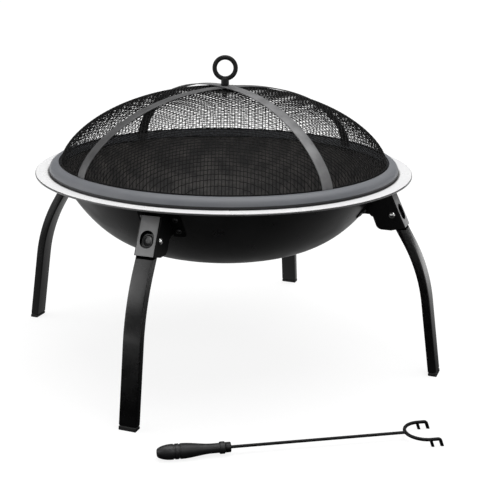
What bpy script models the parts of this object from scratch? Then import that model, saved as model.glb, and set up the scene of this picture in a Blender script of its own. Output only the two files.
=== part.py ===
"""Fire pit: a pressed bowl on four folding legs, a domed spark screen that lifts off, and a poker.

Metres, +Z up, ground at z = 0. The skilled work is in two places. The domed spark screen is a square
wire lattice clipped to a circle and laid over a dome profile. The folding leg sits in a bracket channel
whose tilted front web is the stop and whose oval hole shows the lock button.
"""

import math

import bmesh
import bpy
from mathutils import Matrix, Vector

# General
FIT_GAP = 0.0003
RUNNING_GAP = 0.0001
SHEET = 0.0012
SHARP_ANGLE = math.radians(35)
ROUND_STEPS = 48

# Bowl
RIM_HEIGHT = 0.282
MOUTH_RADIUS = 0.245
RIM_RADIUS = MOUTH_RADIUS + 0.0345
MOUTH_CORNER = 0.004
BOWL_DEPTH = 0.120
BOWL_POWER = 4.0
BOWL_RINGS = 9
BOWL_RING_SPREAD = 1.6
LIP_DROP = 0.0024
LIP_CORNER = 0.001

# Screen ring, measured up from the rim's top face
RING_WALL_RADIUS = MOUTH_RADIUS + 0.001
RING_OUTER_RADIUS = RING_WALL_RADIUS + 0.013
RING_CREST = 0.0145
RING_SHOULDER_FOOT = 0.0040
RING_WALL_FOOT = 0.0015
RING_ARC_STEPS = 5

# Dome of wire cloth
DOME_RADIUS = RING_WALL_RADIUS - 0.0045
DOME_RISE = 0.103
DOME_ROUNDNESS = 2.17
DOME_FULLNESS = 0.655
WIRE = 0.0016
CLOTH_PITCH = DOME_RADIUS / 8.17
CLOTH_BEND_ERROR = 0.0014
SHORTEST_WIRE = 0.004

# Straps over the dome
STRAP_WIDTH = 0.0175
STRAP_THICKNESS = 0.0015
STRAP_CLEARANCE = 0.0015
STRAP_TAIL = 0.0095
STRAP_AZIMUTHS = (-52.0, 35.5)
STRAP_POINTS = 13

# Ring handle at the top of the dome
HANDLE_RING_RADIUS = 0.0158
HANDLE_WIRE_RADIUS = 0.003
HANDLE_CENTRE = 0.1480
COLLAR_RADIUS = 0.0059
COLLAR_HEIGHT = 0.011
COLLAR_CHAMFER = 0.0012
STEM_RADIUS = 0.003
STEM_BELOW_NUT = 0.003
WASHER_RADIUS = 0.018
WASHER_THICKNESS = 0.0015
NUT_ACROSS_CORNERS = 0.0110
NUT_HEIGHT = 0.005

# Legs: azimuth of the first, seen from above, 0 towards the viewer
FIRST_LEG_AZIMUTH = -20.0
LEG_COUNT = 4
PIVOT_RADIUS = MOUTH_RADIUS + 0.017
PIVOT_DROP = 0.044
LEG_REACH = 0.072
LOWER_LEAN = math.radians(8.5)
KNEE_DROP = 0.0786
KNEE_OUT = LEG_REACH - (RIM_HEIGHT - PIVOT_DROP - KNEE_DROP) * math.tan(LOWER_LEAN)
UPPER_LEAN = math.atan2(KNEE_OUT, KNEE_DROP)
BEND_RADIUS = 0.240
BEND_STEPS = 6
TUBE_WIDTH = 0.0254
TUBE_DEPTH = 0.0127
TUBE_WALL = 0.0012
TUBE_CORNER = 0.0018
TUBE_TOP_RADIUS = 0.0086
TUBE_TOP_STEPS = 6

# Foot caps
CAP_HEIGHT = 0.004
PLUG_LENGTH = 0.014

# Pivot rivets
RIVET_RADIUS = 0.002
RIVET_HEAD_RADIUS = 0.005
RIVET_HEAD_HEIGHT = 0.0024
RIVET_ARC_STEPS = 3
RIVET_STEPS = 12

# Brackets
BRACKET_SHEET = 0.0015
SIDE_GAP = 0.0005
WEB_TILT = math.radians(26)
WEB_SHEET = 0.002
WEB_OFFSET = 0.011
WEB_BELOW_PIVOT = 0.024
BRACKET_TOP_DROP = 0.013
BRACKET_BOTTOM_DROP = 0.067
SIDE_BACK = 0.0275
SIDE_STEP_DROP = 0.0490
SIDE_SLANT = 0.0075
SIDE_NOTCH = 0.003
SIDE_CORNER = 0.010
HOLE_WIDTH = 0.0195
HOLE_HEIGHT = 0.024
HOLE_BELOW_PIVOT = 0.002
HOLE_STEPS = 22
EAR_WIDTH = 0.016
EAR_SHEET = 0.002
EAR_BOTTOM_DROP = 0.050
EAR_CORNER = 0.004

# Bolts through the ears
BOLT_OUT = 0.0085
BOLT_DROPS = (0.0205, 0.0385)
BOLT_HEAD_RADIUS = 0.0042
BOLT_HEAD_HEIGHT = 0.0026
BOLT_ARC_STEPS = 2
BOLT_STEPS = 10

# Lock buttons
BUTTON_WIDTH = 0.014
BUTTON_HEIGHT = 0.017
BUTTON_BELOW_PIVOT = 0.0045
BUTTON_PROUD = 0.001
BUTTON_ROOF = 0.0015
BUTTON_WALL = 0.0012
BUTTON_FLANGE = 0.0008
BUTTON_FLANGE_OUT = 0.0012
BUTTON_EDGE = 0.0006

# Leaf springs behind the buttons
SPRING_SHEET = 0.0004
SPRING_WIDTH = 0.008
SPRING_REACH = 0.040
SPRING_BEND = 0.0022

# Poker: place of the butt in plan from the pit's axis, and its direction
POKER_BUTT = (-0.0710, -0.3980)
POKER_YAW = math.radians(12.0)
GRIP_LENGTH = 0.0848
GRIP_RADIUS = 0.0097
GRIP_BUTT = 0.018
GRIP_BUTT_TAPER = 0.75
GRIP_BUTT_EDGE = 0.0012
GRIP_SWELL_END = 0.030
GRIP_WAIST = 0.0700
GRIP_WAIST_RADIUS = 0.0062
GRIP_FLARE_LENGTH = 0.0065
GRIP_FLARE_RADIUS = 0.0077
GROOVE_PLACES = (0.0280, 0.0215)
GROOVE_WIDTH = 0.0024
GROOVE_DEPTH = 0.0008
GRIP_STEPS = 5
BUTT_STEPS = 3
POKER_COLLAR_LENGTH = 0.0072
POKER_COLLAR_RADIUS = 0.0065
POKER_COLLAR_CHAMFER = 0.0009
ROD_RADIUS = 0.0018
FORK_WIRE_RADIUS = 0.0020
TANG_LENGTH = 0.060
FORK_BASE = 0.321
FORK_HALF_WIDTH = 0.0255
PRONG_STRAIGHT = 0.0115
PRONG_HOOK_LEAN = 0.0035
PRONG_CORNER = 0.004
TINE_DROP = 0.0097
TINE_BACK = 0.0125
TINE_STOCK = 1.2
ROD_SIDES = 8


# Helpers


def clear_scene():
    for obj in list(bpy.data.objects):
        bpy.data.objects.remove(obj)


def new_collection(name):
    collection = bpy.data.collections.new(name)
    bpy.context.scene.collection.children.link(collection)
    return collection


def new_material(name, color, metallic, roughness):
    material = bpy.data.materials.new(name)
    material.use_nodes = True
    shader = material.node_tree.nodes["Principled BSDF"]
    shader.inputs["Base Color"].default_value = (*color, 1.0)
    shader.inputs["Metallic"].default_value = metallic
    shader.inputs["Roughness"].default_value = roughness
    material.diffuse_color = (*color, 1.0)
    return material


def rounded_path(points, radii, steps=4):
    """The polyline with a fillet of the given radius at each inner point."""
    path = [Vector(points[0])]
    for before, corner, after, radius in zip(points, points[1:], points[2:], radii):
        corner = Vector(corner)
        back = (Vector(before) - corner).normalized()
        ahead = (Vector(after) - corner).normalized()
        half = back.angle(ahead) / 2
        if radius == 0 or half > math.radians(89):
            path.append(corner)
            continue
        centre = corner + (back + ahead).normalized() * radius / math.sin(half)
        start = (corner + back * radius / math.tan(half) - centre).normalized()
        end = (corner + ahead * radius / math.tan(half) - centre).normalized()
        path += [centre + start.slerp(end, i / steps) * radius for i in range(steps + 1)]
    path.append(Vector(points[-1]))
    return path


def side_of(path, distance):
    """The path moved to its left by the distance, with mitred corners."""
    moved = []
    for i, point in enumerate(path):
        before = (point - path[i - 1]).normalized() if i else None
        after = (path[i + 1] - point).normalized() if i + 1 < len(path) else None
        first = before or after
        second = after or before
        left = Vector((-first.y - second.y, first.x + second.x)).normalized()
        scale = 1 / max(0.3, left.dot(Vector((-first.y, first.x))))
        moved.append(point + left * distance * scale)
    return moved


def sheet_section(path, thickness):
    """The closed outline of a sheet whose middle follows the path."""
    path = [Vector(point) for point in path]
    return side_of(path, thickness / 2) + side_of(path, -thickness / 2)[::-1]


def arc(centre, radius, start, end, steps):
    centre = Vector(centre)
    angles = [start + (end - start) * i / steps for i in range(steps + 1)]
    return [centre + Vector((math.cos(a), math.sin(a))) * radius for a in angles]


def oval(width, height, steps, centre=0.0):
    """A stadium outline, standing on end, in (across, along)."""
    radius = width / 2
    rise = (height - width) / 2
    half = steps // 2
    top = arc((0, centre + rise), radius, 0, math.pi, half)
    bottom = arc((0, centre - rise), radius, math.pi, 2 * math.pi, half)
    return top + bottom


def finished(mesh_tool, name):
    """Turns a bmesh into a mesh with its normals facing out."""
    bmesh.ops.remove_doubles(mesh_tool, verts=mesh_tool.verts, dist=1e-6)
    bmesh.ops.recalc_face_normals(mesh_tool, faces=mesh_tool.faces)
    mesh = bpy.data.meshes.new(name)
    mesh_tool.to_mesh(mesh)
    mesh_tool.free()
    return mesh


def smooth(mesh):
    mesh.shade_smooth()
    mesh.set_sharp_from_angle(angle=SHARP_ANGLE)
    return mesh


def helper(name, data, matrix=None):
    """A blank, profile or cutter, kept out of the model."""
    obj = bpy.data.objects.new(name, data)
    cutters.objects.link(obj)
    obj.hide_render = True
    obj.display_type = "WIRE"
    if matrix is not None:
        obj.matrix_world = matrix
    return obj


def evaluated_mesh(obj):
    bpy.context.view_layer.update()
    graph = bpy.context.evaluated_depsgraph_get()
    mesh = bpy.data.meshes.new_from_object(obj.evaluated_get(graph))
    tool = bmesh.new()
    tool.from_mesh(mesh)
    return finished(tool, obj.name)


def prism(name, outline, width, middle=0.0):
    """An outline in X and Z pulled out along Y."""
    tool = bmesh.new()
    corners = [tool.verts.new((x, middle - width / 2, z)) for x, z in outline]
    face = tool.faces.new(corners)
    pulled = bmesh.ops.extrude_face_region(tool, geom=[face])["geom"]
    moved = [item for item in pulled if isinstance(item, bmesh.types.BMVert)]
    bmesh.ops.translate(tool, verts=moved, vec=(0, width, 0))
    return finished(tool, name)


def turned(name, profile, steps):
    """A profile in radius and height, turned about Z."""
    mesh = bpy.data.meshes.new(name)
    closed = profile[0][0] > 0
    edges = [(i, i + 1) for i in range(len(profile) - 1)]
    if closed:
        edges.append((len(profile) - 1, 0))
    mesh.from_pydata([(x, 0.0, z) for x, z in profile], edges, [])
    obj = helper(name + "_profile", mesh)
    screw = obj.modifiers.new("Turn", "SCREW")
    screw.steps = steps
    screw.render_steps = steps
    screw.use_merge_vertices = True
    screw.merge_threshold = 0.00001
    return evaluated_mesh(obj)


def wire(name, path, radius, sides):
    """A round wire along a path in space, with closed ends."""
    curve = bpy.data.curves.new(name, "CURVE")
    curve.dimensions = "3D"
    curve.bevel_depth = radius
    curve.bevel_resolution = (sides - 4) // 2
    curve.use_fill_caps = True
    spline = curve.splines.new("POLY")
    spline.points.add(len(path) - 1)
    for point, place in zip(spline.points, path):
        point.co = (*place, 1.0)
    return evaluated_mesh(helper(name + "_curve", curve))


def combined(base, operation, cutter, matrix=None):
    """The base mesh after a Boolean with the cutter mesh."""
    first = helper(base.name + "_blank", base)
    second = helper(cutter.name + "_tool", cutter, matrix)
    boolean = first.modifiers.new(operation.title(), "BOOLEAN")
    boolean.operation = operation
    boolean.solver = "EXACT"
    boolean.object = second
    mesh = evaluated_mesh(first)
    first.modifiers.clear()
    return mesh


def bevelled(mesh, width, segments, angle):
    obj = helper(mesh.name + "_blank", mesh)
    bevel = obj.modifiers.new("Edges", "BEVEL")
    bevel.width = width
    bevel.segments = segments
    bevel.limit_method = "ANGLE"
    bevel.angle_limit = angle
    result = evaluated_mesh(obj)
    obj.modifiers.clear()
    return result


def moved_mesh(mesh, matrix):
    copy = mesh.copy()
    copy.transform(matrix)
    return copy


# Shapes that several pieces share


def bowl_point(radius):
    return Vector((radius, -BOWL_DEPTH * (1 - (radius / MOUTH_RADIUS) ** BOWL_POWER)))


def bowl_curve():
    """The bowl's middle surface from the axis to just below the mouth, from the rim's top face."""
    shares = [i / BOWL_RINGS for i in range(BOWL_RINGS)]
    return [bowl_point(MOUTH_RADIUS * (1 - (1 - share) ** BOWL_RING_SPREAD)) for share in shares]


def dome_height(radius, extra=0.0):
    """Height above the rim of the dome, or of a surface that much outside it."""
    share = min(1.0, radius / (DOME_RADIUS + extra))
    return RING_CREST + (DOME_RISE + extra) * (1 - share**DOME_ROUNDNESS) ** DOME_FULLNESS


def direction(lean):
    """Down a leg that leans out from vertical by the angle, in radius and height."""
    return Vector((math.sin(lean), -math.cos(lean)))


def leg_path():
    """The tube's middle line from the pivot to the ground, with the pivot at zero."""
    foot = (LEG_REACH, PIVOT_DROP - RIM_HEIGHT)
    return rounded_path([(0, 0), (KNEE_OUT, -KNEE_DROP), foot], [BEND_RADIUS], BEND_STEPS)


def leg_matrix(index):
    """From a leg's own frame, X outwards and the pivot at zero, to the pit."""
    turn = math.radians(FIRST_LEG_AZIMUTH + 360 / LEG_COUNT * index - 90)
    place = Matrix.Translation((PIVOT_RADIUS, 0, RIM_HEIGHT - PIVOT_DROP))
    return Matrix.Rotation(turn, 4, "Z") @ place


def pit_in_leg_frame():
    """The pit's axis and rim in a leg's own frame, with a flat of the bowl facing the leg."""
    half_step = math.pi / ROUND_STEPS
    return Matrix.Translation((-PIVOT_RADIUS, 0, PIVOT_DROP)) @ Matrix.Rotation(half_step, 4, "Z")


def tube_frame():
    """Turns X, Y, Z into out of the tube's front, across it and up it."""
    return Matrix.Rotation(-UPPER_LEAN, 4, "Y")


# Bowl


def build_bowl():
    flat = -SHEET / 2
    edge = RIM_RADIUS - SHEET / 2
    curve = bowl_curve()
    corners = [curve[-1], (MOUTH_RADIUS, flat), (edge, flat), (edge, -LIP_DROP)]
    rim = rounded_path(corners, [MOUTH_CORNER, LIP_CORNER], 3)
    section = sheet_section(curve[:-1] + rim, SHEET)
    section[0].x = 0
    section[-1].x = 0
    return smooth(turned("bowl", section, ROUND_STEPS))


# Spark screen


def build_ring():
    bottom = FIT_GAP
    top = RING_CREST - SHEET / 2
    outer = RING_OUTER_RADIUS - SHEET / 2
    shoulder = [
        (
            RING_WALL_RADIUS + (outer - RING_WALL_RADIUS) * math.sin(turn),
            RING_SHOULDER_FOOT + (top - RING_SHOULDER_FOOT) * math.cos(turn),
        )
        for turn in [math.pi / 2 * i / RING_ARC_STEPS for i in range(1, RING_ARC_STEPS + 1)]
    ]
    path = [(RING_WALL_RADIUS, RING_WALL_FOOT), (RING_WALL_RADIUS, top), *shoulder, (outer, bottom)]
    return smooth(turned("screen_ring", sheet_section(path, SHEET), ROUND_STEPS))


def rim_crossing(inside, outside):
    """Where the straight line between two points in plan leaves the dome's base circle."""
    run = outside - inside
    a = run.dot(run)
    b = 2 * inside.dot(run)
    c = inside.dot(inside) - DOME_RADIUS**2
    return inside + run * (-b + math.sqrt(b * b - 4 * a * c)) / (2 * a)


def on_dome(point):
    return Vector((point.x, point.y, dome_height(point.length)))


def bent_line(start, end):
    """Points from start up to but not including end, close enough to follow the dome."""
    middle = (start + end) / 2
    gap = on_dome(middle) - (on_dome(start) + on_dome(end)) / 2
    run = (on_dome(end) - on_dome(start)).normalized()
    off = (gap - run * gap.dot(run)).length
    if off < CLOTH_BEND_ERROR:
        return [start]
    return bent_line(start, middle) + bent_line(middle, end)


def cloth_wire(start, end):
    """One side of a gap, bent the same way from both of its gaps. A side along the rim stays straight."""
    if min(start.length, end.length) > DOME_RADIUS - FIT_GAP:
        return [start]
    if (start.x, start.y) < (end.x, end.y):
        return bent_line(start, end)
    return [start] + bent_line(end, start)[:0:-1]


def cloth_cell(corners):
    """One gap of the cloth in plan, cut off at the base circle."""
    kept = []
    for here, there in zip(corners, corners[1:] + corners[:1]):
        inside = here.length < DOME_RADIUS
        if inside:
            kept.append(here)
        if inside != (there.length < DOME_RADIUS):
            kept.append(rim_crossing(here, there) if inside else rim_crossing(there, here))
    return kept


def build_cloth():
    half = math.ceil(DOME_RADIUS / CLOTH_PITCH)
    marks = [(i + 0.5) * CLOTH_PITCH for i in range(-half - 1, half + 1)]
    tool = bmesh.new()
    for x0, x1 in zip(marks, marks[1:]):
        for y0, y1 in zip(marks, marks[1:]):
            corners = [Vector((x0, y0)), Vector((x1, y0)), Vector((x1, y1)), Vector((x0, y1))]
            cell = cloth_cell(corners)
            if len(cell) < 3:
                continue
            outline = []
            for start, end in zip(cell, cell[1:] + cell[:1]):
                outline += cloth_wire(start, end)
            tool.faces.new([tool.verts.new(on_dome(point)) for point in outline])
    bmesh.ops.remove_doubles(tool, verts=tool.verts, dist=SHORTEST_WIRE)
    bmesh.ops.recalc_face_normals(tool, faces=tool.faces)
    surface = bpy.data.meshes.new("screen_mesh")
    tool.to_mesh(surface)
    tool.free()
    obj = helper("screen_mesh_surface", surface)
    lattice = obj.modifiers.new("Wires", "WIREFRAME")
    lattice.thickness = WIRE
    lattice.use_even_offset = False
    lattice.use_boundary = True
    mesh = evaluated_mesh(obj)
    obj.modifiers.clear()
    return mesh


def build_strap(name, lift):
    """A flat strap over the whole dome along X. The lift takes it over the other strap."""
    extra = STRAP_CLEARANCE + STRAP_THICKNESS / 2
    reach = DOME_RADIUS + extra
    half = [(reach, RING_CREST - STRAP_TAIL)]
    for i in range(STRAP_POINTS):
        radius = reach * math.cos(math.pi / 2 * i / STRAP_POINTS)
        height = dome_height(radius, extra) + lift * (1 - (radius / reach) ** 2)
        half.append((radius, height))
    top = (0.0, dome_height(0, extra) + lift)
    path = [(-x, z) for x, z in half] + [top] + half[::-1]
    blank = prism(name, sheet_section(path, STRAP_THICKNESS), STRAP_WIDTH)
    hole = STEM_RADIUS + FIT_GAP
    crown = top[1] + DOME_RISE
    drill = turned(name + "_hole", [(0, crown), (hole, crown), (hole, 0), (0, 0)], RIVET_STEPS)
    return smooth(combined(blank, "DIFFERENCE", drill))


def washer_top():
    return dome_height(WASHER_RADIUS) - WIRE - FIT_GAP


def build_handle():
    low = washer_top() - WASHER_THICKNESS - NUT_HEIGHT - STEM_BELOW_NUT
    foot = dome_height(0) + STRAP_CLEARANCE + 2 * (STRAP_THICKNESS + FIT_GAP)
    top = foot + COLLAR_HEIGHT
    profile = [
        (0, top),
        (COLLAR_RADIUS - COLLAR_CHAMFER, top),
        (COLLAR_RADIUS, top - COLLAR_CHAMFER),
        (COLLAR_RADIUS, foot),
        (STEM_RADIUS, foot),
        (STEM_RADIUS, low),
        (0, low),
    ]
    collar = turned("ring_handle", profile, RIVET_STEPS)
    tool = bmesh.new()
    hoop = arc((0, HANDLE_CENTRE), HANDLE_RING_RADIUS, 0, 2 * math.pi, ROUND_STEPS // 2)[:-1]
    loops = []
    for i, middle in enumerate(hoop):
        outward = (middle - Vector((0, HANDLE_CENTRE))).normalized()
        section = arc((0, 0), HANDLE_WIRE_RADIUS, 0, 2 * math.pi, BOLT_STEPS)[:-1]
        spots = [middle + outward * spot.x for spot in section]
        loops.append([tool.verts.new((p.x, s.y, p.y)) for p, s in zip(spots, section)])
    for this, following in zip(loops, loops[1:] + loops[:1]):
        for a, b, c, d in zip(this, this[1:] + this[:1], following[1:] + following[:1], following):
            tool.faces.new((a, b, c, d))
    ring = finished(tool, "handle_ring")
    return smooth(combined(collar, "UNION", ring))


def build_washer():
    top = washer_top()
    low = top - WASHER_THICKNESS
    hole = STEM_RADIUS + FIT_GAP
    profile = [(WASHER_RADIUS, top), (WASHER_RADIUS, low), (hole, low), (hole, top)]
    return smooth(turned("dome_washer", profile, ROUND_STEPS // 2))


def build_nut():
    top = washer_top() - WASHER_THICKNESS - FIT_GAP
    low = top - NUT_HEIGHT
    hole = STEM_RADIUS + FIT_GAP
    corner = NUT_ACROSS_CORNERS / 2
    nut = turned("dome_nut", [(0, top), (corner, top), (corner, low), (0, low)], 6)
    drill = turned("nut_hole", [(0, top + hole), (hole, top + hole), (hole, 0), (0, 0)], RIVET_STEPS)
    return smooth(combined(nut, "DIFFERENCE", drill))


# Leg bracket


def bowl_envelope(name, gap):
    """A solid of the bowl's outside, grown by the gap."""
    outer = side_of(bowl_curve() + [bowl_point(MOUTH_RADIUS)], -SHEET / 2 - gap)
    outer[0].x = 0
    outer.append(Vector((outer[-1].x, RING_CREST)))
    outer.append(Vector((0, RING_CREST)))
    return turned(name, outer[::-1], ROUND_STEPS)


def web_points(out):
    """Top and bottom of a line in the web's plane, that far out from the pivot, in radius and height."""
    normal = Vector((math.cos(WEB_TILT), math.sin(WEB_TILT)))
    down = direction(WEB_TILT)
    top = PIVOT_DROP - BRACKET_TOP_DROP
    reach = (out * normal.y - top) / math.cos(WEB_TILT)
    return normal * out + down * reach, normal * out + down * WEB_BELOW_PIVOT


def channel_outline():
    """The folded channel's side view from the pivot. Its back is cut off by the bowl."""
    top = PIVOT_DROP - BRACKET_TOP_DROP
    bottom = PIVOT_DROP - BRACKET_BOTTOM_DROP
    step = PIVOT_DROP - SIDE_STEP_DROP
    web_top, web_low = web_points(WEB_OFFSET)
    points = [
        web_top,
        web_low,
        web_points(WEB_OFFSET - WEB_SHEET)[1],
        (0, bottom),
        (-SIDE_BACK + SIDE_SLANT, bottom),
        (-SIDE_BACK, step),
        (-SIDE_BACK - EAR_SHEET, step),
        (-SIDE_BACK - EAR_SHEET - SIDE_NOTCH, step + SIDE_NOTCH),
        (-PIVOT_RADIUS / 3, step + SIDE_NOTCH),
        (-PIVOT_RADIUS / 3, top),
    ]
    return rounded_path(points, [0, 0, 0, SIDE_CORNER, 0, 0, 0, 0])


def channel_room():
    """The space between the side plates, behind the web."""
    upper, lower = web_points(WEB_OFFSET - WEB_SHEET)
    run = (lower - upper) / 2
    return [upper - run, lower + run, (-PIVOT_RADIUS / 2, -PIVOT_DROP), (-PIVOT_RADIUS / 2, PIVOT_DROP)]


def build_bracket():
    inside = TUBE_WIDTH / 2 + SIDE_GAP
    outside = inside + BRACKET_SHEET
    bracket = prism("leg_bracket", channel_outline(), 2 * outside)
    bracket = combined(bracket, "DIFFERENCE", prism("channel_room", channel_room(), 2 * inside))
    slab = combined(
        ear_blank(outside - BRACKET_SHEET / 2, outside + EAR_WIDTH),
        "INTERSECT",
        bowl_envelope("ear_face", FIT_GAP + EAR_SHEET),
        pit_in_leg_frame(),
    )
    bracket = combined(bracket, "UNION", slab)
    bracket = combined(bracket, "DIFFERENCE", bowl_envelope("bowl_seat", FIT_GAP), pit_in_leg_frame())
    # oval hole in the web, over the lock button
    hole = prism("button_window", oval(HOLE_WIDTH, HOLE_HEIGHT, HOLE_STEPS, -HOLE_BELOW_PIVOT), HOLE_WIDTH)
    lay = Matrix.Rotation(math.pi / 2, 4, "Z")
    tilt = Matrix.Rotation(-WEB_TILT, 4, "Y")
    shift = Matrix.Translation((WEB_OFFSET, 0, 0))
    bracket = combined(bracket, "DIFFERENCE", hole, tilt @ shift @ lay)
    bracket = combined(bracket, "DIFFERENCE", pivot_drill(), sideways())
    return smooth(bracket)


def ear_blank(start, end):
    """Both ears as blocks that reach through the bowl's wall."""
    top = PIVOT_DROP - BRACKET_TOP_DROP - FIT_GAP
    low = PIVOT_DROP - EAR_BOTTOM_DROP
    outline = rounded_path([(start, top), (end, top), (end, low), (start, low)], [EAR_CORNER, EAR_CORNER])
    mirrored = [(-x, z) for x, z in outline]
    turn = Matrix.Rotation(-math.pi / 2, 4, "Z")
    reach = PIVOT_RADIUS / 2
    right = moved_mesh(prism("ear_right", outline, reach, -reach / 2), turn)
    left = moved_mesh(prism("ear_left", mirrored, reach, -reach / 2), turn)
    return combined(right, "UNION", left)


def sideways():
    """Lays a turned piece's axis along the pivot."""
    return Matrix.Rotation(math.pi / 2, 4, "X")


def pivot_drill():
    radius = RIVET_RADIUS + RUNNING_GAP
    profile = [(0, TUBE_WIDTH), (radius, TUBE_WIDTH), (radius, -TUBE_WIDTH), (0, -TUBE_WIDTH)]
    return turned("pivot_drill", profile, RIVET_STEPS)


def domed_head(radius, height, rows, lift):
    """The profile of a domed head from its top to the rim of its underside."""
    turns = [math.pi / 2 * i / rows for i in range(rows + 1)]
    return [(radius * math.sin(turn), lift + height * math.cos(turn)) for turn in turns]


def build_rivet():
    side = TUBE_WIDTH / 2 + SIDE_GAP + BRACKET_SHEET + RUNNING_GAP
    head = domed_head(RIVET_HEAD_RADIUS, RIVET_HEAD_HEIGHT, RIVET_ARC_STEPS, side)
    upper = head + [(RIVET_RADIUS, side)]
    lower = [(x, -z) for x, z in upper[::-1]]
    mesh = turned("pivot_rivet", upper + lower, RIVET_STEPS)
    return smooth(moved_mesh(mesh, sideways()))


def build_bolt():
    """A domed bolt head on the ear, its underside at zero and its axis along Z."""
    head = domed_head(BOLT_HEAD_RADIUS, BOLT_HEAD_HEIGHT, BOLT_ARC_STEPS, 0)
    return smooth(turned("bracket_bolt", head + [(0, 0)], BOLT_STEPS))


def bolt_matrix(side, drop):
    """Where a bolt head sits on its ear, in the leg's own frame."""
    across = side * (TUBE_WIDTH / 2 + SIDE_GAP + BRACKET_SHEET + BOLT_OUT)
    turn = side * 2 * math.pi / ROUND_STEPS
    share = (1 - drop / BOWL_DEPTH) ** (1 / BOWL_POWER)
    radius = MOUTH_RADIUS * share
    slope = math.atan(BOWL_DEPTH * BOWL_POWER / MOUTH_RADIUS * share ** (BOWL_POWER - 1))
    flat = radius * math.cos(math.pi / ROUND_STEPS)
    stand = SHEET / 2 + 2 * FIT_GAP + EAR_SHEET
    out = flat + stand * math.sin(slope)
    height = -drop - stand * math.cos(slope)
    slide = (across - side * out * math.sin(abs(turn))) / math.cos(turn)
    place = Matrix.Translation((out, slide, height))
    lean = Matrix.Rotation(math.pi - slope, 4, "Y")
    to_pivot = Matrix.Translation((-PIVOT_RADIUS, 0, PIVOT_DROP))
    return to_pivot @ Matrix.Rotation(turn, 4, "Z") @ place @ lean


# Leg


def tube_outline(depth, top_radius, extra):
    """The tube's side view: straight and bent sides with a round top about the pivot."""
    rise = math.sqrt(top_radius**2 - (depth / 2) ** 2)
    path = leg_path()
    path[0] = -direction(UPPER_LEAN) * rise
    path[-1] = path[-1] + (path[-1] - path[-2]).normalized() * extra
    middle = math.pi / 2 + UPPER_LEAN
    spread = math.acos(rise / top_radius)
    top = arc((0, 0), top_radius, middle + spread, middle - spread, TUBE_TOP_STEPS)
    return sheet_section(path, depth) + top[1:-1]


def build_tube():
    cut = -(CAP_HEIGHT + FIT_GAP) / math.cos(LOWER_LEAN) - TUBE_DEPTH / 2 * math.tan(LOWER_LEAN)
    tube = prism("leg_tube", tube_outline(TUBE_DEPTH, TUBE_TOP_RADIUS, cut), TUBE_WIDTH)
    tube = bevelled(tube, TUBE_CORNER, 2, math.radians(60))
    inner = TUBE_DEPTH - 2 * TUBE_WALL
    hollow = tube_outline(inner, TUBE_TOP_RADIUS - TUBE_WALL, TUBE_WALL)
    tube = combined(tube, "DIFFERENCE", prism("tube_hollow", hollow, TUBE_WIDTH - 2 * TUBE_WALL))
    tube = combined(tube, "DIFFERENCE", pivot_drill(), sideways())
    width = BUTTON_WIDTH + 2 * FIT_GAP
    height = BUTTON_HEIGHT + 2 * FIT_GAP
    window = prism("tube_window", oval(width, height, BOLT_STEPS * 2, -BUTTON_BELOW_PIVOT), TUBE_DEPTH / 2)
    lay = Matrix.Rotation(math.pi / 2, 4, "Z")
    shift = Matrix.Translation((TUBE_DEPTH / 2, 0, 0))
    tube = combined(tube, "DIFFERENCE", window, tube_frame() @ shift @ lay)
    return smooth(tube)


def build_cap():
    """A foot cap: a head as wide as the tube with a level sole, and a plug up the tube."""
    path = leg_path()
    foot = path[-1]
    up = (path[-2] - path[-1]).normalized()
    out = Vector((up.y, -up.x))
    half = TUBE_DEPTH / 2
    sole = half / math.cos(LOWER_LEAN)
    lift = CAP_HEIGHT / math.cos(LOWER_LEAN) + half * math.tan(LOWER_LEAN)
    shoulder = foot + up * lift
    front = shoulder + out * half
    rear = shoulder - out * half
    head = [(foot.x - sole, foot.y), (foot.x + sole, foot.y), front, rear]
    cap = bevelled(prism("foot_cap", head, TUBE_WIDTH), TUBE_CORNER / 2, 1, math.radians(60))
    inner = half - TUBE_WALL - FIT_GAP
    plug_top = shoulder + up * PLUG_LENGTH
    plug_foot = shoulder - up * CAP_HEIGHT / 2
    across = out * inner
    plug = [plug_foot - across, plug_foot + across, plug_top + across, plug_top - across]
    plug_width = TUBE_WIDTH - 2 * (TUBE_WALL + FIT_GAP)
    return smooth(combined(cap, "UNION", prism("cap_plug", plug, plug_width)))


def build_button():
    """A thumb button: an oval cup with a flange behind the tube's wall, in the tube's frame."""
    front = TUBE_DEPTH / 2
    face = front + BUTTON_PROUD
    flange_top = front - TUBE_WALL - FIT_GAP
    flange_low = flange_top - BUTTON_FLANGE
    body = prism(
        "lock_button",
        oval(BUTTON_WIDTH, BUTTON_HEIGHT, BOLT_STEPS * 2, -BUTTON_BELOW_PIVOT),
        face - flange_low,
        -(face + flange_low) / 2,
    )
    body = bevelled(body, BUTTON_EDGE, 1, math.radians(60))
    wide = oval(
        BUTTON_WIDTH + 2 * BUTTON_FLANGE_OUT,
        BUTTON_HEIGHT + 2 * BUTTON_FLANGE_OUT,
        BOLT_STEPS * 2,
        -BUTTON_BELOW_PIVOT,
    )
    flange = prism("button_flange", wide, BUTTON_FLANGE, -(flange_top + flange_low) / 2)
    body = combined(body, "UNION", flange)
    narrow = oval(
        BUTTON_WIDTH - 2 * BUTTON_WALL,
        BUTTON_HEIGHT - 2 * BUTTON_WALL,
        BOLT_STEPS * 2,
        -BUTTON_BELOW_PIVOT,
    )
    roof = face - BUTTON_ROOF
    hollow_low = flange_low - BUTTON_FLANGE
    hollow = prism("button_hollow", narrow, roof - hollow_low, -(roof + hollow_low) / 2)
    body = combined(body, "DIFFERENCE", hollow)
    lay = Matrix.Rotation(math.pi / 2, 4, "Z")
    return smooth(moved_mesh(body, tube_frame() @ lay))


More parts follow.
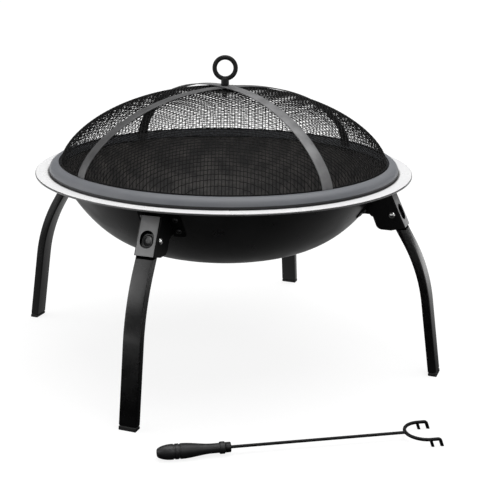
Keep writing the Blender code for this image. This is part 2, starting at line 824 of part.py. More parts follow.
def build_spring():
    """A folded leaf spring on the tube's back wall, its free end behind the button's flange."""
    front = TUBE_DEPTH / 2
    back = -front + TUBE_WALL + FIT_GAP + SPRING_SHEET / 2
    flange_low = front - TUBE_WALL - FIT_GAP - BUTTON_FLANGE
    tip = flange_low - FIT_GAP - SPRING_SHEET
    low = -BUTTON_BELOW_PIVOT - BUTTON_HEIGHT / 2
    start = low - 2 * BUTTON_FLANGE
    points = [
        (back, start),
        (back, -SPRING_REACH),
        (back + 2 * SPRING_BEND, -SPRING_REACH),
        (tip, low - BUTTON_FLANGE),
        (tip, low),
    ]
    fold = SPRING_BEND - SPRING_SHEET
    path = rounded_path(points, [fold, fold, SPRING_BEND])
    mesh = prism("leaf_spring", sheet_section(path, SPRING_SHEET), SPRING_WIDTH)
    return smooth(moved_mesh(mesh, tube_frame()))


# Poker


def tine_reach():
    return FORK_BASE + FORK_HALF_WIDTH + PRONG_STRAIGHT + PRONG_HOOK_LEAN


def poker_pitch():
    """The rod rises from the grip to the fork, so that grip and tine tips both touch the ground."""
    return math.atan((TINE_DROP - GRIP_RADIUS) / tine_reach())


def poker_matrix():
    """From the poker's own frame, X along the rod from the butt, to the pit."""
    place = Matrix.Translation((*POKER_BUTT, GRIP_RADIUS * math.cos(poker_pitch())))
    turn = Matrix.Rotation(POKER_YAW, 4, "Z")
    return place @ turn @ Matrix.Rotation(-poker_pitch(), 4, "Y")


def along_rod():
    """Lays a turned piece's axis along X."""
    return Matrix.Rotation(math.pi / 2, 4, "Y")


def grip_radius(along):
    """The grip's outside at a distance from the butt: rounded end, swell, waist and the run between."""
    if along < GRIP_BUTT:
        return GRIP_RADIUS * math.sqrt(1 - GRIP_BUTT_TAPER * (1 - along / GRIP_BUTT) ** 2)
    share = (along - GRIP_SWELL_END) / (GRIP_WAIST - GRIP_SWELL_END)
    share = min(1.0, max(0.0, share))
    fall = (1 - math.cos(math.pi * share)) / 2
    return GRIP_RADIUS - (GRIP_RADIUS - GRIP_WAIST_RADIUS) * fall


def groove_profile(place):
    """One groove round the grip, from its front edge to its back edge."""
    half = GROOVE_WIDTH / 2
    bottom = grip_radius(place) - GROOVE_DEPTH
    front = place + half
    back = place - half
    slope = GROOVE_DEPTH / 2
    floor = [(bottom, front - slope), (bottom, back + slope)]
    return [(grip_radius(front), front), *floor, (grip_radius(back), back)]


def build_grip():
    """A turned grip with a flared front, a waist, a swell, two grooves and a rounded butt."""
    hole = ROD_RADIUS + FIT_GAP
    deep = GRIP_LENGTH - TANG_LENGTH - FIT_GAP
    flare = GRIP_LENGTH - GRIP_FLARE_LENGTH
    run = [GRIP_WAIST - (GRIP_WAIST - GRIP_SWELL_END) * i / GRIP_STEPS for i in range(GRIP_STEPS + 1)]
    butt = [GRIP_BUTT * (1 - i / BUTT_STEPS) for i in range(BUTT_STEPS)] + [GRIP_BUTT_EDGE]
    profile = [
        (0, deep),
        (hole, deep),
        (hole, GRIP_LENGTH),
        (GRIP_FLARE_RADIUS, GRIP_LENGTH),
        (GRIP_FLARE_RADIUS, flare),
    ]
    profile += [(grip_radius(along), along) for along in run]
    for place in GROOVE_PLACES:
        profile += groove_profile(place)
    profile += [(grip_radius(along), along) for along in butt]
    profile += [(grip_radius(0) - GRIP_BUTT_EDGE, 0), (0, 0)]
    return smooth(moved_mesh(turned("poker_grip", profile, ROUND_STEPS // 3), along_rod()))


def build_poker_collar():
    start = GRIP_LENGTH + FIT_GAP
    end = start + POKER_COLLAR_LENGTH
    hole = ROD_RADIUS + FIT_GAP
    profile = [
        (hole, end),
        (POKER_COLLAR_RADIUS - POKER_COLLAR_CHAMFER, end),
        (POKER_COLLAR_RADIUS, end - POKER_COLLAR_CHAMFER),
        (POKER_COLLAR_RADIUS, start),
        (hole, start),
    ]
    return smooth(moved_mesh(turned("poker_collar", profile, ROUND_STEPS // 3), along_rod()))


def build_rod():
    """The rod and its U-shaped fork: two prongs that hook down, each with an inner tine.

    The tines are drawn long and cut off level with the ground.
    """
    centre = FORK_BASE + FORK_HALF_WIDTH
    bend = arc((centre, 0), FORK_HALF_WIDTH, math.pi / 2, 3 * math.pi / 2, 12)
    corner_x = centre + PRONG_STRAIGHT
    side = FORK_HALF_WIDTH
    drop = TINE_DROP
    lean = PRONG_HOOK_LEAN * TINE_STOCK
    tip = (corner_x + lean, side, -drop * TINE_STOCK)
    hook = rounded_path([(centre, side, 0), (corner_x, side, 0), tip], [PRONG_CORNER])
    far = hook[::-1][:-1]
    near = [Vector((p.x, -p.y, p.z)) for p in hook[1:]]
    path = far + [Vector((spot.x, spot.y, 0)) for spot in bend] + near
    fork = wire("poker_rod", path, FORK_WIRE_RADIUS, ROD_SIDES)
    rod_path = [Vector((x, 0, 0)) for x in (GRIP_LENGTH - TANG_LENGTH, FORK_BASE + ROD_RADIUS / 2)]
    rod = combined(fork, "UNION", wire("rod_straight", rod_path, ROD_RADIUS, ROD_SIDES))
    for y in (side, -side):
        start = Vector((corner_x - TINE_BACK, y, 0))
        end = start + Vector((lean, 0, -drop * TINE_STOCK))
        rod = combined(rod, "UNION", wire("inner_tine", [start, end], ROD_RADIUS, ROD_SIDES))
    reach = 2 * tine_reach()
    block = [(-reach, 0), (reach, 0), (reach, -drop), (-reach, -drop)]
    ground = prism("ground", block, 2 * reach)
    return smooth(combined(rod, "DIFFERENCE", ground, poker_matrix().inverted()))


# Assembly


def pit_offset():
    """Puts the middle of the whole footprint at zero, from the rear foot to the side of the grip's butt."""
    turn = math.radians(FIRST_LEG_AZIMUTH + 180)
    half_sole = TUBE_DEPTH / 2 / math.cos(LOWER_LEAN)
    half_width = (TUBE_WIDTH - TUBE_CORNER) / 2
    foot = PIVOT_RADIUS + LEG_REACH
    back = (foot + half_sole) * abs(math.cos(turn)) + half_width * abs(math.sin(turn))
    slope = math.tan(POKER_YAW) * GRIP_BUTT / (GRIP_RADIUS * GRIP_BUTT_TAPER)
    along = GRIP_BUTT * (1 - slope / math.sqrt(1 + GRIP_BUTT_TAPER * slope**2))
    nearest = grip_radius(along) * math.cos(POKER_YAW) - along * math.sin(POKER_YAW)
    front = nearest - POKER_BUTT[1]
    return (front - back) / 2


def place(name, mesh, material, matrix, parent):
    obj = bpy.data.objects.new(name, mesh)
    parts.objects.link(obj)
    obj.parent = parent
    obj.matrix_local = matrix
    if not mesh.materials:
        mesh.materials.append(material)
    return obj


def pivot_empty(name, matrix, parent):
    empty = bpy.data.objects.new(name, None)
    empty.empty_display_size = PLUG_LENGTH
    parts.objects.link(empty)
    empty.parent = parent
    empty.matrix_local = matrix
    return empty


def material_set():
    return {
        "bowl": new_material("bowl_enamel", (0.018, 0.018, 0.020), 0.0, 0.38),
        "ring": new_material("ring_steel", (0.19, 0.20, 0.22), 0.7, 0.42),
        "cloth": new_material("wire_cloth", (0.012, 0.012, 0.012), 0.3, 0.55),
        "strap": new_material("strap_steel", (0.20, 0.20, 0.21), 0.7, 0.45),
        "handle": new_material("handle_black", (0.012, 0.012, 0.013), 0.0, 0.40),
        "washer": new_material("washer_zinc", (0.45, 0.45, 0.44), 1.0, 0.40),
        "nut": new_material("nut_zinc", (0.48, 0.48, 0.46), 1.0, 0.38),
        "bracket": new_material("bracket_steel", (0.085, 0.085, 0.088), 0.4, 0.45),
        "rivet": new_material("rivet_steel", (0.72, 0.72, 0.71), 1.0, 0.22),
        "bolt": new_material("bolt_black", (0.035, 0.035, 0.036), 0.3, 0.40),
        "tube": new_material("leg_enamel", (0.030, 0.030, 0.032), 0.0, 0.35),
        "button": new_material("button_plastic", (0.010, 0.010, 0.011), 0.0, 0.25),
        "spring": new_material("spring_steel", (0.55, 0.55, 0.53), 1.0, 0.30),
        "cap": new_material("foot_plastic", (0.012, 0.012, 0.012), 0.0, 0.60),
        "grip": new_material("grip_plastic", (0.020, 0.020, 0.021), 0.0, 0.55),
        "collar": new_material("collar_steel", (0.05, 0.05, 0.052), 0.5, 0.40),
        "rod": new_material("rod_black", (0.012, 0.012, 0.013), 0.2, 0.45),
    }


def assemble():
    paint = material_set()
    pit = pivot_empty("pit_axis", Matrix.Translation((0, pit_offset(), 0)), None)
    leg_turn = math.radians(FIRST_LEG_AZIMUTH - 90)
    rim = Matrix.Translation((0, 0, RIM_HEIGHT))
    flats = Matrix.Rotation(leg_turn + math.pi / ROUND_STEPS, 4, "Z")
    place("bowl", build_bowl(), paint["bowl"], rim @ flats, pit)
    screen = pivot_empty("screen_lift", rim, pit)
    place("screen_ring", build_ring(), paint["ring"], flats, screen)
    place("screen_mesh", build_cloth(), paint["cloth"], Matrix(), screen)
    over = STRAP_THICKNESS + FIT_GAP
    for index, (azimuth, lift) in enumerate(zip(STRAP_AZIMUTHS, (0.0, over)), 1):
        turn = Matrix.Rotation(math.radians(azimuth - 90), 4, "Z")
        name = f"dome_strap_{index}"
        place(name, build_strap(name, lift), paint["strap"], turn, screen)
    place("ring_handle", build_handle(), paint["handle"], Matrix(), screen)
    place("dome_washer", build_washer(), paint["washer"], Matrix(), screen)
    place("dome_nut", build_nut(), paint["nut"], Matrix(), screen)
    meshes = {
        "leg_bracket": (build_bracket(), paint["bracket"]),
        "pivot_rivet": (build_rivet(), paint["rivet"]),
        "leg_tube": (build_tube(), paint["tube"]),
        "foot_cap": (build_cap(), paint["cap"]),
        "leaf_spring": (build_spring(), paint["spring"]),
        "lock_button": (build_button(), paint["button"]),
    }
    bolt = build_bolt()
    for leg in range(LEG_COUNT):
        pivot = pivot_empty(f"leg_pivot_{leg + 1}", leg_matrix(leg), pit)
        for name, (mesh, material) in meshes.items():
            place(f"{name}_{leg + 1}", mesh, material, Matrix(), pivot)
        for count, (side, drop) in enumerate([(s, d) for s in (-1, 1) for d in BOLT_DROPS], 1):
            name = f"bracket_bolt_{leg + 1}_{count}"
            place(name, bolt, paint["bolt"], bolt_matrix(side, drop), pivot)
    poker = pivot_empty("poker_axis", poker_matrix(), pit)
    place("poker_grip", build_grip(), paint["grip"], Matrix(), poker)
    place("poker_collar", build_poker_collar(), paint["collar"], Matrix(), poker)
    place("poker_rod", build_rod(), paint["rod"], Matrix(), poker)


clear_scene()
parts = new_collection("fire_pit")
cutters = new_collection("cutters")
assemble()
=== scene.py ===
"""Fire pit with a domed spark screen, folding legs and a poker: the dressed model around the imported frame."""

from math import acos, atan, atan2, cos, hypot, pi, radians, sin, sqrt, tan

import bmesh
import bpy
from mathutils import Matrix, Vector


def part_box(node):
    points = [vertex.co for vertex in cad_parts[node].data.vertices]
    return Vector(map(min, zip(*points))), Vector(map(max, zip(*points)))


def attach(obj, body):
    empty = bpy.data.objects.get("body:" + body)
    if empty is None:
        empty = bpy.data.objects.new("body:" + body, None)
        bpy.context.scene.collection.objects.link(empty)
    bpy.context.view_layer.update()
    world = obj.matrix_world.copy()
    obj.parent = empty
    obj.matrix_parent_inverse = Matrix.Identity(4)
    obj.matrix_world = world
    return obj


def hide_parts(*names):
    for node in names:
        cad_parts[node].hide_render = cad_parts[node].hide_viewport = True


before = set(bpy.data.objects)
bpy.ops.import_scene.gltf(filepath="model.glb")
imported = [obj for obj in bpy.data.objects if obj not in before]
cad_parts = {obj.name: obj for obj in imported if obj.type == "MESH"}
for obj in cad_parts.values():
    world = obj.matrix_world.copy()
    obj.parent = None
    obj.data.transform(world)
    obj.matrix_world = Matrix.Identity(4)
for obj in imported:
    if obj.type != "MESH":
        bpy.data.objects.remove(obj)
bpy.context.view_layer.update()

# Where the pit stands in the frame
bowl_low, bowl_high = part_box("bowl")
PIT_Y = (bowl_low.y + bowl_high.y) / 2
GAP = 0.0003
SHEET = 0.0012
TURN_STEPS = 192
MERGE_DISTANCE = 1e-6
TURN_MERGE_DISTANCE = 1e-5
MITRE_LIMIT = 0.3
NEARLY_STRAIGHT = radians(89)
SHARP_ANGLE = radians(35)
EDGE_ANGLE = radians(50)
CORNER_ANGLE = radians(60)

# Bowl
RIM_HEIGHT = 0.282
MOUTH_RADIUS = 0.245
RIM_RADIUS = MOUTH_RADIUS + 0.0345
MOUTH_CORNER = 0.004
BOWL_DEPTH = 0.120
BOWL_POWER = 4.0
LIP_DROP = 0.0024
LIP_CORNER = 0.001
RIM_BRIGHT = 0.15
# Widths out from the screen ring over which a painted shadow on the flange fades out
PAINTED_SHADOW_LINE = (0.0014, 0.0036)

# Screen ring
RING_WALL_RADIUS = MOUTH_RADIUS + 0.001
RING_OUTER_RADIUS = RING_WALL_RADIUS + 0.013
RING_CREST = 0.0145
RING_SHOULDER_FOOT = 0.0040
RING_WALL_FOOT = 0.0015
SHOULDER_STEPS = 14

# Dome of wire cloth
DOME_RADIUS = RING_WALL_RADIUS - 0.0045
DOME_RISE = 0.103
DOME_ROUNDNESS = 2.17
DOME_FULLNESS = 0.655
CLOTH_PITCH = 0.0047
CLOTH_WIRE = 0.00047
CLOTH_WEAVE = 0.00042
CLOTH_REACH = 0.99999
CLOTH_SIDES = 5
HEM_WIRE = 0.0011

# Straps
STRAP_WIDTH = 0.0175
STRAP_THICKNESS = 0.0015
STRAP_CLEARANCE = 0.0015
STRAP_TAIL = 0.0095
STRAP_EDGE = 0.0004
STRAP_STEPS = 44
STRAP_AZIMUTHS = (-52.0, 35.5)

# Ring handle
HANDLE_RING_RADIUS = 0.0154
HANDLE_WIRE_RADIUS = 0.0034
HANDLE_CENTRE = 0.1480
COLLAR_RADIUS = 0.0059
COLLAR_HEIGHT = 0.011
COLLAR_EDGE = 0.0012
STEM_RADIUS = 0.003

# Legs
FIRST_LEG_AZIMUTH = -20.0
LEG_COUNT = 4
PIVOT_RADIUS = MOUTH_RADIUS + 0.017
PIVOT_DROP = 0.044
LEG_REACH = 0.072
LOWER_LEAN = radians(8.5)
KNEE_DROP = 0.0786
KNEE_OUT = LEG_REACH - (RIM_HEIGHT - PIVOT_DROP - KNEE_DROP) * tan(LOWER_LEAN)
UPPER_LEAN = atan2(KNEE_OUT, KNEE_DROP)
BEND_RADIUS = 0.240
TUBE_WIDTH = 0.0254
TUBE_DEPTH = 0.0127
TUBE_WALL = 0.0012
TUBE_CORNER = 0.0018
TUBE_TOP_RADIUS = 0.0086
CAP_HEIGHT = 0.004

# Brackets
BRACKET_SHEET = 0.0015
SIDE_GAP = 0.0005
FOLD_RADIUS = 0.0022
WEB_TILT = radians(26)
WEB_SHEET = 0.002
WEB_OFFSET = 0.011
WEB_BELOW_PIVOT = 0.024
BRACKET_TOP_DROP = 0.013
BRACKET_BOTTOM_DROP = 0.067
SIDE_BACK = 0.0275
SIDE_STEP_DROP = 0.0490
SIDE_SLANT = 0.0075
SIDE_NOTCH = 0.003
SIDE_CORNER = 0.010
HOLE_WIDTH = 0.0195
HOLE_HEIGHT = 0.024
HOLE_BELOW_PIVOT = 0.002
EAR_WIDTH = 0.016
EAR_SHEET = 0.002
EAR_BOTTOM_DROP = 0.050
EAR_CORNER = 0.004
BRACKET_EDGE = 0.00022
BOWL_FLATS = 48
BOWL_BLANK_TOP = 0.02
# Faces turned closer than this to the web take the pale grey, painted light; the rest of the sheet, folds
# included, takes painted shade
LIT_WEB_LIMIT = 0.97
# Heights between which the leg tube is painted near-black: painted shadow below the bracket
SHADOW_BAND_HEIGHTS = (0.2168, 0.2212)

# Rivets and bolts
RIVET_RADIUS = 0.002
RIVET_HEAD_RADIUS = 0.005
RIVET_HEAD_HEIGHT = 0.0024
PIVOT_PLAY = 0.0001
BOLT_OUT = 0.0085
BOLT_DROPS = (0.0205, 0.0385)
BOLT_HEAD_RADIUS = 0.0042
BOLT_HEAD_HEIGHT = 0.0026
BOLT_HEAD_FLAT = 0.001
SOCKET_RADIUS = 0.0019
SOCKET_FLOOR = 0.0012
SOCKET_TOP = 0.006
SOCKET_SIDES = 6

# Lock buttons
BUTTON_WIDTH = 0.014
BUTTON_HEIGHT = 0.017
BUTTON_BELOW_PIVOT = 0.0045
BUTTON_PROUD = 0.001
BUTTON_DEPTH = 0.0019
BUTTON_STEPS = 48

# Rings of the button: share of its outline and height, over the rounded edge and into the dished face
BUTTON_EDGE = ((1.0, -BUTTON_DEPTH), (1.0, -0.0012), (0.975, -0.0005), (0.91, -0.0001))
BUTTON_DISH = ((0.82, 0.0), (0.70, -0.00035), (0.5, -0.0006), (0.25, -0.00072))

# Poker
POKER_BUTT = (-0.0710, -0.3980)
POKER_YAW = radians(12.0)
GRIP_LENGTH = 0.0848
GRIP_RADIUS = 0.0097
GRIP_BUTT = 0.018
GRIP_BUTT_TAPER = 0.75
GRIP_BUTT_EDGE = 0.0012
GRIP_SWELL_END = 0.030
GRIP_WAIST = 0.0700
GRIP_WAIST_RADIUS = 0.0062
GRIP_FLARE_LENGTH = 0.0065
GRIP_FLARE_RADIUS = 0.0077
GRIP_EDGE = 0.0008
GROOVE_PLACES = (0.0280, 0.0215)
GROOVE_WIDTH = 0.0024
GROOVE_DEPTH = 0.0008
GRIP_STEPS = 24
BUTT_STEPS = 14
TANG_LENGTH = 0.060
POKER_COLLAR_LENGTH = 0.0072
POKER_COLLAR_RADIUS = 0.0065
ROD_RADIUS = 0.0020
FORK_WIRE_RADIUS = 0.00225
FORK_BASE = 0.321
FORK_HALF_WIDTH = 0.0255
PRONG_STRAIGHT = 0.0115
PRONG_HOOK_LEAN = 0.0035
PRONG_CORNER = 0.004
TINE_DROP = 0.0097
TINE_BACK = 0.0125
TINE_STOCK = 1.2

# Camera, fitted to the feet, the rim and the legs
CAMERA_PITCH = radians(16.599)
CAMERA_ROLL = radians(0.776)
CAMERA_PLACE = (0.0400, -1.6152, 0.6339)
FOCAL_PIXELS = 1096.9
FRAME_PIXELS = 500
SENSOR = 36.0

# Studio
AMBIENT = 0.16
FLOOR_HALF = 30.0
FLOOR_WHITE_SHARE = 0.76
FLOOR_GLOW_SPREAD = (1.0, 4.0, 1.12, 1.32)
# In reflections and bounced light the floor is a glow only, dim around a spot in front of the pit and bright
# beyond: painted shade for the pit's shadow on the floor
FLOOR_DARK_SPOT = (0.05, -0.75, 0.0)
FLOOR_REFLECTED = (0.50, 2.60, 0.02, 2.0)
FLOOR_GREY = 0.86
FLOOR_ROUGHNESS = 0.9
WHITE = (1.0, 1.0, 1.0, 1.0)
LIGHT_AIM_HEIGHT = 0.2

# Soft panels: place, size and brightness
SOFTBOXES = {
    "top": ((0.3, 0.3, 2.4), (2.8, 2.8), 3.0),
    "back": ((0.0, 3.4, 1.35), (5.5, 1.6), 0.35),
    "left": ((-3.2, -0.2, 1.3), (3.5, 1.4), 2.5),
    "right": ((3.2, 0.0, 1.3), (3.5, 1.4), 0.3),
    "front": ((-2.4, -2.0, 1.9), (1.6, 1.6), 2.0),
    "key": ((1.2, -2.3, 1.9), (1.5, 1.1), 3.2),
}
REFLECTION_ONLY = ("back", "front")

# Colour sockets of the mix node, whose names are shared with its other kinds
MIX_FIRST = 6
MIX_SECOND = 7
MIX_RESULT = 2

# Noise levels between which a blotch fades in, and a gloss changes
BLOTCH = (0.35, 0.7)
GLOSS = (0.3, 0.7)


# Small tools


def rounded_path(points, radii, steps=8):
    """The polyline with a fillet of the given radius at each inner point."""
    path = [Vector(points[0])]
    for before, corner, after, radius in zip(points, points[1:], points[2:], radii):
        corner = Vector(corner)
        back = (Vector(before) - corner).normalized()
        ahead = (Vector(after) - corner).normalized()
        half = back.angle(ahead) / 2
        if radius == 0 or half > NEARLY_STRAIGHT:
            path.append(corner)
            continue
        centre = corner + (back + ahead).normalized() * radius / sin(half)
        start = (corner + back * radius / tan(half) - centre).normalized()
        end = (corner + ahead * radius / tan(half) - centre).normalized()
        path += [centre + start.slerp(end, i / steps) * radius for i in range(steps + 1)]
    path.append(Vector(points[-1]))
    return path


def side_of(path, distance):
    """The path moved to its left by the distance, with mitred corners."""
    moved = []
    for i, point in enumerate(path):
        before = (point - path[i - 1]).normalized() if i else None
        after = (path[i + 1] - point).normalized() if i + 1 < len(path) else None
        first = before or after
        second = after or before
        left = Vector((-first.y - second.y, first.x + second.x)).normalized()
        scale = 1 / max(MITRE_LIMIT, left.dot(Vector((-first.y, first.x))))
        moved.append(point + left * distance * scale)
    return moved


def sheet_section(path, thickness):
    path = [Vector(point) for point in path]
    return side_of(path, thickness / 2) + side_of(path, -thickness / 2)[::-1]


def rotation(angle, axis):
    return Matrix.Rotation(angle, 4, axis)


def shift(x=0, y=0, z=0):
    return Matrix.Translation((x, y, z))


def arc(centre, radius, start, end, steps):
    centre = Vector(centre)
    angles = [start + (end - start) * i / steps for i in range(steps + 1)]
    return [centre + Vector((cos(a), sin(a))) * radius for a in angles]


def oval(width, height, steps, centre=0.0):
    """A stadium outline, standing on end, in (across, along)."""
    radius = width / 2
    rise = (height - width) / 2
    half = steps // 2
    top = arc((0, centre + rise), radius, 0, pi, half)
    bottom = arc((0, centre - rise), radius, pi, 2 * pi, half)
    return top + bottom


def new_object(name, data):
    obj = bpy.data.objects.new(name, data)
    bpy.context.scene.collection.objects.link(obj)
    return obj


def evaluated_mesh(obj):
    """The object's mesh with its modifiers applied. The object is removed."""
    bpy.context.view_layer.update()
    graph = bpy.context.evaluated_depsgraph_get()
    mesh = bpy.data.meshes.new_from_object(obj.evaluated_get(graph))
    bpy.data.objects.remove(obj)
    return mesh


def plain_mesh(obj):
    return tidied(evaluated_mesh(obj))


def tidied(mesh):
    """The mesh with doubles merged and faces out."""
    tool = bmesh.new()
    tool.from_mesh(mesh)
    bmesh.ops.remove_doubles(tool, verts=tool.verts, dist=MERGE_DISTANCE)
    bmesh.ops.recalc_face_normals(tool, faces=tool.faces)
    tool.to_mesh(mesh)
    tool.free()
    return mesh


def prism(name, outline, width, middle=0.0):
    """An outline in X and Z pulled out along Y."""
    tool = bmesh.new()
    face = tool.faces.new([tool.verts.new((x, middle - width / 2, z)) for x, z in outline])
    pulled = bmesh.ops.extrude_face_region(tool, geom=[face])["geom"]
    moved = [item for item in pulled if isinstance(item, bmesh.types.BMVert)]
    bmesh.ops.translate(tool, verts=moved, vec=(0, width, 0))
    mesh = bpy.data.meshes.new(name)
    tool.to_mesh(mesh)
    tool.free()
    return tidied(mesh)


def turned(name, profile, steps=TURN_STEPS):
    """A profile in radius and height, turned about Z."""
    mesh = bpy.data.meshes.new(name)
    edges = [(i, i + 1) for i in range(len(profile) - 1)]
    if profile[0][0] > 0:
        edges.append((len(profile) - 1, 0))
    mesh.from_pydata([(x, 0.0, z) for x, z in profile], edges, [])
    obj = new_object(name, mesh)
    screw = obj.modifiers.new("Turn", "SCREW")
    screw.steps = screw.render_steps = steps
    screw.use_merge_vertices = True
    screw.merge_threshold = TURN_MERGE_DISTANCE
    return plain_mesh(obj)


def combined(base, operation, cutter, matrix=None):
    first = new_object("blank", base)
    second = new_object("cutter", cutter)
    if matrix is not None:
        second.matrix_world = matrix
    boolean = first.modifiers.new("Cut", "BOOLEAN")
    boolean.operation = operation
    boolean.solver = "EXACT"
    boolean.object = second
    mesh = plain_mesh(first)
    bpy.data.objects.remove(second)
    return mesh


def bevelled(mesh, width, segments, angle=EDGE_ANGLE):
    obj = new_object("blank", mesh)
    bevel = obj.modifiers.new("Edges", "BEVEL")
    bevel.width = width
    bevel.segments = segments
    bevel.limit_method = "ANGLE"
    bevel.angle_limit = angle
    bevel.use_clamp_overlap = True
    return plain_mesh(obj)


def wire(name, path, radius, sides=16, closed=False):
    """A round wire along a path in space, with capped ends or closed to a loop."""
    curve = bpy.data.curves.new(name, "CURVE")
    curve.dimensions = "3D"
    curve.bevel_depth = radius
    curve.bevel_resolution = (sides - 4) // 2
    curve.use_fill_caps = True
    spline = curve.splines.new("POLY")
    spline.points.add(len(path) - 1)
    for point, place in zip(spline.points, path):
        point.co = (*place, 1.0)
    spline.use_cyclic_u = closed
    return plain_mesh(new_object(name, curve))


def rounded_edges(radius, low, high, edge):
    """A round collar's outside from top to foot, with rounded edges, in radius and height."""
    top = arc((radius - edge, high - edge), edge, pi / 2, 0, 4)
    foot = arc((radius - edge, low + edge), edge, 0, -pi / 2, 4)
    return top + foot


def piece(name, mesh, matrix, body, slot, replaced, finishes=None, pick=None):
    """Makes a mesh a piece: in place, smooth, riding on its body, in its slot's finish or the given ones."""
    mesh = mesh.copy()
    mesh.name = name
    mesh.transform(matrix)
    mesh.materials.clear()
    for finish in finishes or [slot]:
        mesh.materials.append(PAINT[finish])
    for polygon in mesh.polygons:
        polygon.material_index = pick(polygon) if pick else 0
    mesh.shade_smooth()
    mesh.set_sharp_from_angle(angle=SHARP_ANGLE)
    obj = new_object(name, mesh)
    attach(obj, body)
    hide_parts(*replaced)


# Node trees and materials


def grey(level, blue=0.0):
    """A neutral colour, or one with a little more or less blue."""
    return (level, level, level + blue)


class Wiring:
    """Short calls for building a node tree."""

    def __init__(self, tree):
        self.tree = tree

    def node(self, kind, **settings):
        node = self.tree.nodes.new(kind)
        for name, value in settings.items():
            setattr(node, name, value)
        return node

    def put(self, value, socket):
        """Links an output to the socket, or sets the socket to a plain value."""
        if isinstance(value, bpy.types.NodeSocket):
            self.tree.links.new(value, socket)
        else:
            socket.default_value = value

    def step(self, kind, inputs, **settings):
        """A new node with these inputs, by name or place. Gives its first output."""
        node = self.node(kind, **settings)
        for name, value in inputs.items():
            self.put(value, node.inputs[name])
        return node.outputs[0]

    def math(self, operation, *values):
        return self.step("ShaderNodeMath", dict(enumerate(values)), operation=operation)

    def square(self, value):
        return self.math("MULTIPLY", value, value)

    def vector(self, x=0.0, y=0.0, z=0.0):
        return self.step("ShaderNodeCombineXYZ", {"X": x, "Y": y, "Z": z})

    def parts(self, vector):
        """The X, Y and Z of a vector, by name."""
        split = self.node("ShaderNodeSeparateXYZ")
        self.put(vector, split.inputs[0])
        return split.outputs

    def distance(self, first, second):
        node = self.node("ShaderNodeVectorMath", operation="DISTANCE")
        self.put(first, node.inputs[0])
        self.put(second, node.inputs[1])
        return node.outputs["Value"]

    def ranged(self, value, limits, **settings):
        """The value scaled from the first two limits to the other two, or to 0 and 1."""
        names = ("From Min", "From Max", "To Min", "To Max")
        inputs = {"Value": value, **dict(zip(names, limits))}
        return self.step("ShaderNodeMapRange", inputs, **settings)

    def mixed(self, factor, first, second):
        """A colour between two, by the factor. Each is a colour or an output."""
        mix = self.node("ShaderNodeMix", data_type="RGBA")
        self.put(factor, mix.inputs["Factor"])
        for value, place in ((first, MIX_FIRST), (second, MIX_SECOND)):
            color = (*value, 1.0) if isinstance(value, (tuple, list)) else value
            self.put(color, mix.inputs[place])
        return mix.outputs[MIX_RESULT]

    def mixed_shaders(self, factor, first, second):
        return self.step("ShaderNodeMixShader", {0: factor, 1: first, 2: second})


class Finish(Wiring):
    """A Principled material with a small tree of procedural detail in object coordinates."""

    def __init__(self, name, color, metallic, roughness, specular=0.5):
        self.material = bpy.data.materials.new(name)
        self.material.use_nodes = True
        super().__init__(self.material.node_tree)
        self.shader = self.tree.nodes["Principled BSDF"]
        self.set("Base Color", (*color, 1.0))
        self.set("Metallic", metallic)
        self.set("Roughness", roughness)
        self.set("Specular IOR Level", specular)
        self.coordinates = self.node("ShaderNodeTexCoord").outputs["Object"]
        self.normal = None

    def set(self, socket, value):
        self.put(value, self.shader.inputs[socket])

    def stretched(self, scale):
        return self.step("ShaderNodeMapping", {"Vector": self.coordinates, "Scale": scale})

    def noise(self, scale, detail=3.0, vector=None, rough=0.5):
        inputs = {"Vector": vector or self.coordinates, "Scale": scale, "Detail": detail, "Roughness": rough}
        return self.step("ShaderNodeTexNoise", inputs)

    def clouded(self, value, limits, first, second):
        """Paints a colour that goes from the first to the second over these limits of the value."""
        color = self.mixed(self.ranged(value, limits), first, second)
        self.set("Base Color", color)
        return color

    def bump(self, height, distance):
        """Adds a fine relief to what is there."""
        inputs = {"Strength": 1.0, "Distance": distance, "Height": height}
        if self.normal is not None:
            inputs["Normal"] = self.normal
        self.normal = self.step("ShaderNodeBump", inputs)
        self.set("Normal", self.normal)


def enamel(name, color, roughness, scuff=0.10, specular=0.35, shadow_band=None):
    """Satin paint: fine orange peel, cloudy gloss, a few pale scuffs and, where asked, a dark band of painted
    shadow.
    """
    finish = Finish(name, color, 0.0, roughness, specular)
    clouds = finish.noise(26.0, detail=5.0)
    marks = finish.noise(130.0, 6.0, finish.stretched((1.0, 1.0, 0.25)), rough=0.65)
    paler = [c * 1.35 for c in color]
    tint = finish.clouded(clouds, BLOTCH, color, paler)
    shade = finish.mixed(finish.ranged(marks, (0.70, 0.80, 0.0, 0.45)), tint, grey(scuff))
    # A band between two heights painted near-black and without specular: painted shadow, for the contact shadow
    # under a bracket.
    if shadow_band:
        height = finish.parts(finish.coordinates)["Z"]
        above = finish.math("GREATER_THAN", height, shadow_band[0])
        rub_and_shadow_mask = finish.math("MULTIPLY", above, finish.math("LESS_THAN", height, shadow_band[1]))
        shade = finish.mixed(rub_and_shadow_mask, shade, grey(0.001))
        finish.set("Specular IOR Level", finish.ranged(rub_and_shadow_mask, (0, 1, specular, 0)))
    finish.set("Base Color", shade)
    finish.set("Roughness", finish.ranged(clouds, (*GLOSS, roughness - 0.05, roughness + 0.08)))
    peel, dust = finish.noise(420.0, detail=2.0), finish.noise(900.0, detail=2.0)
    finish.bump(peel, distance=0.00006)
    finish.bump(dust, distance=0.00001)
    return finish.material


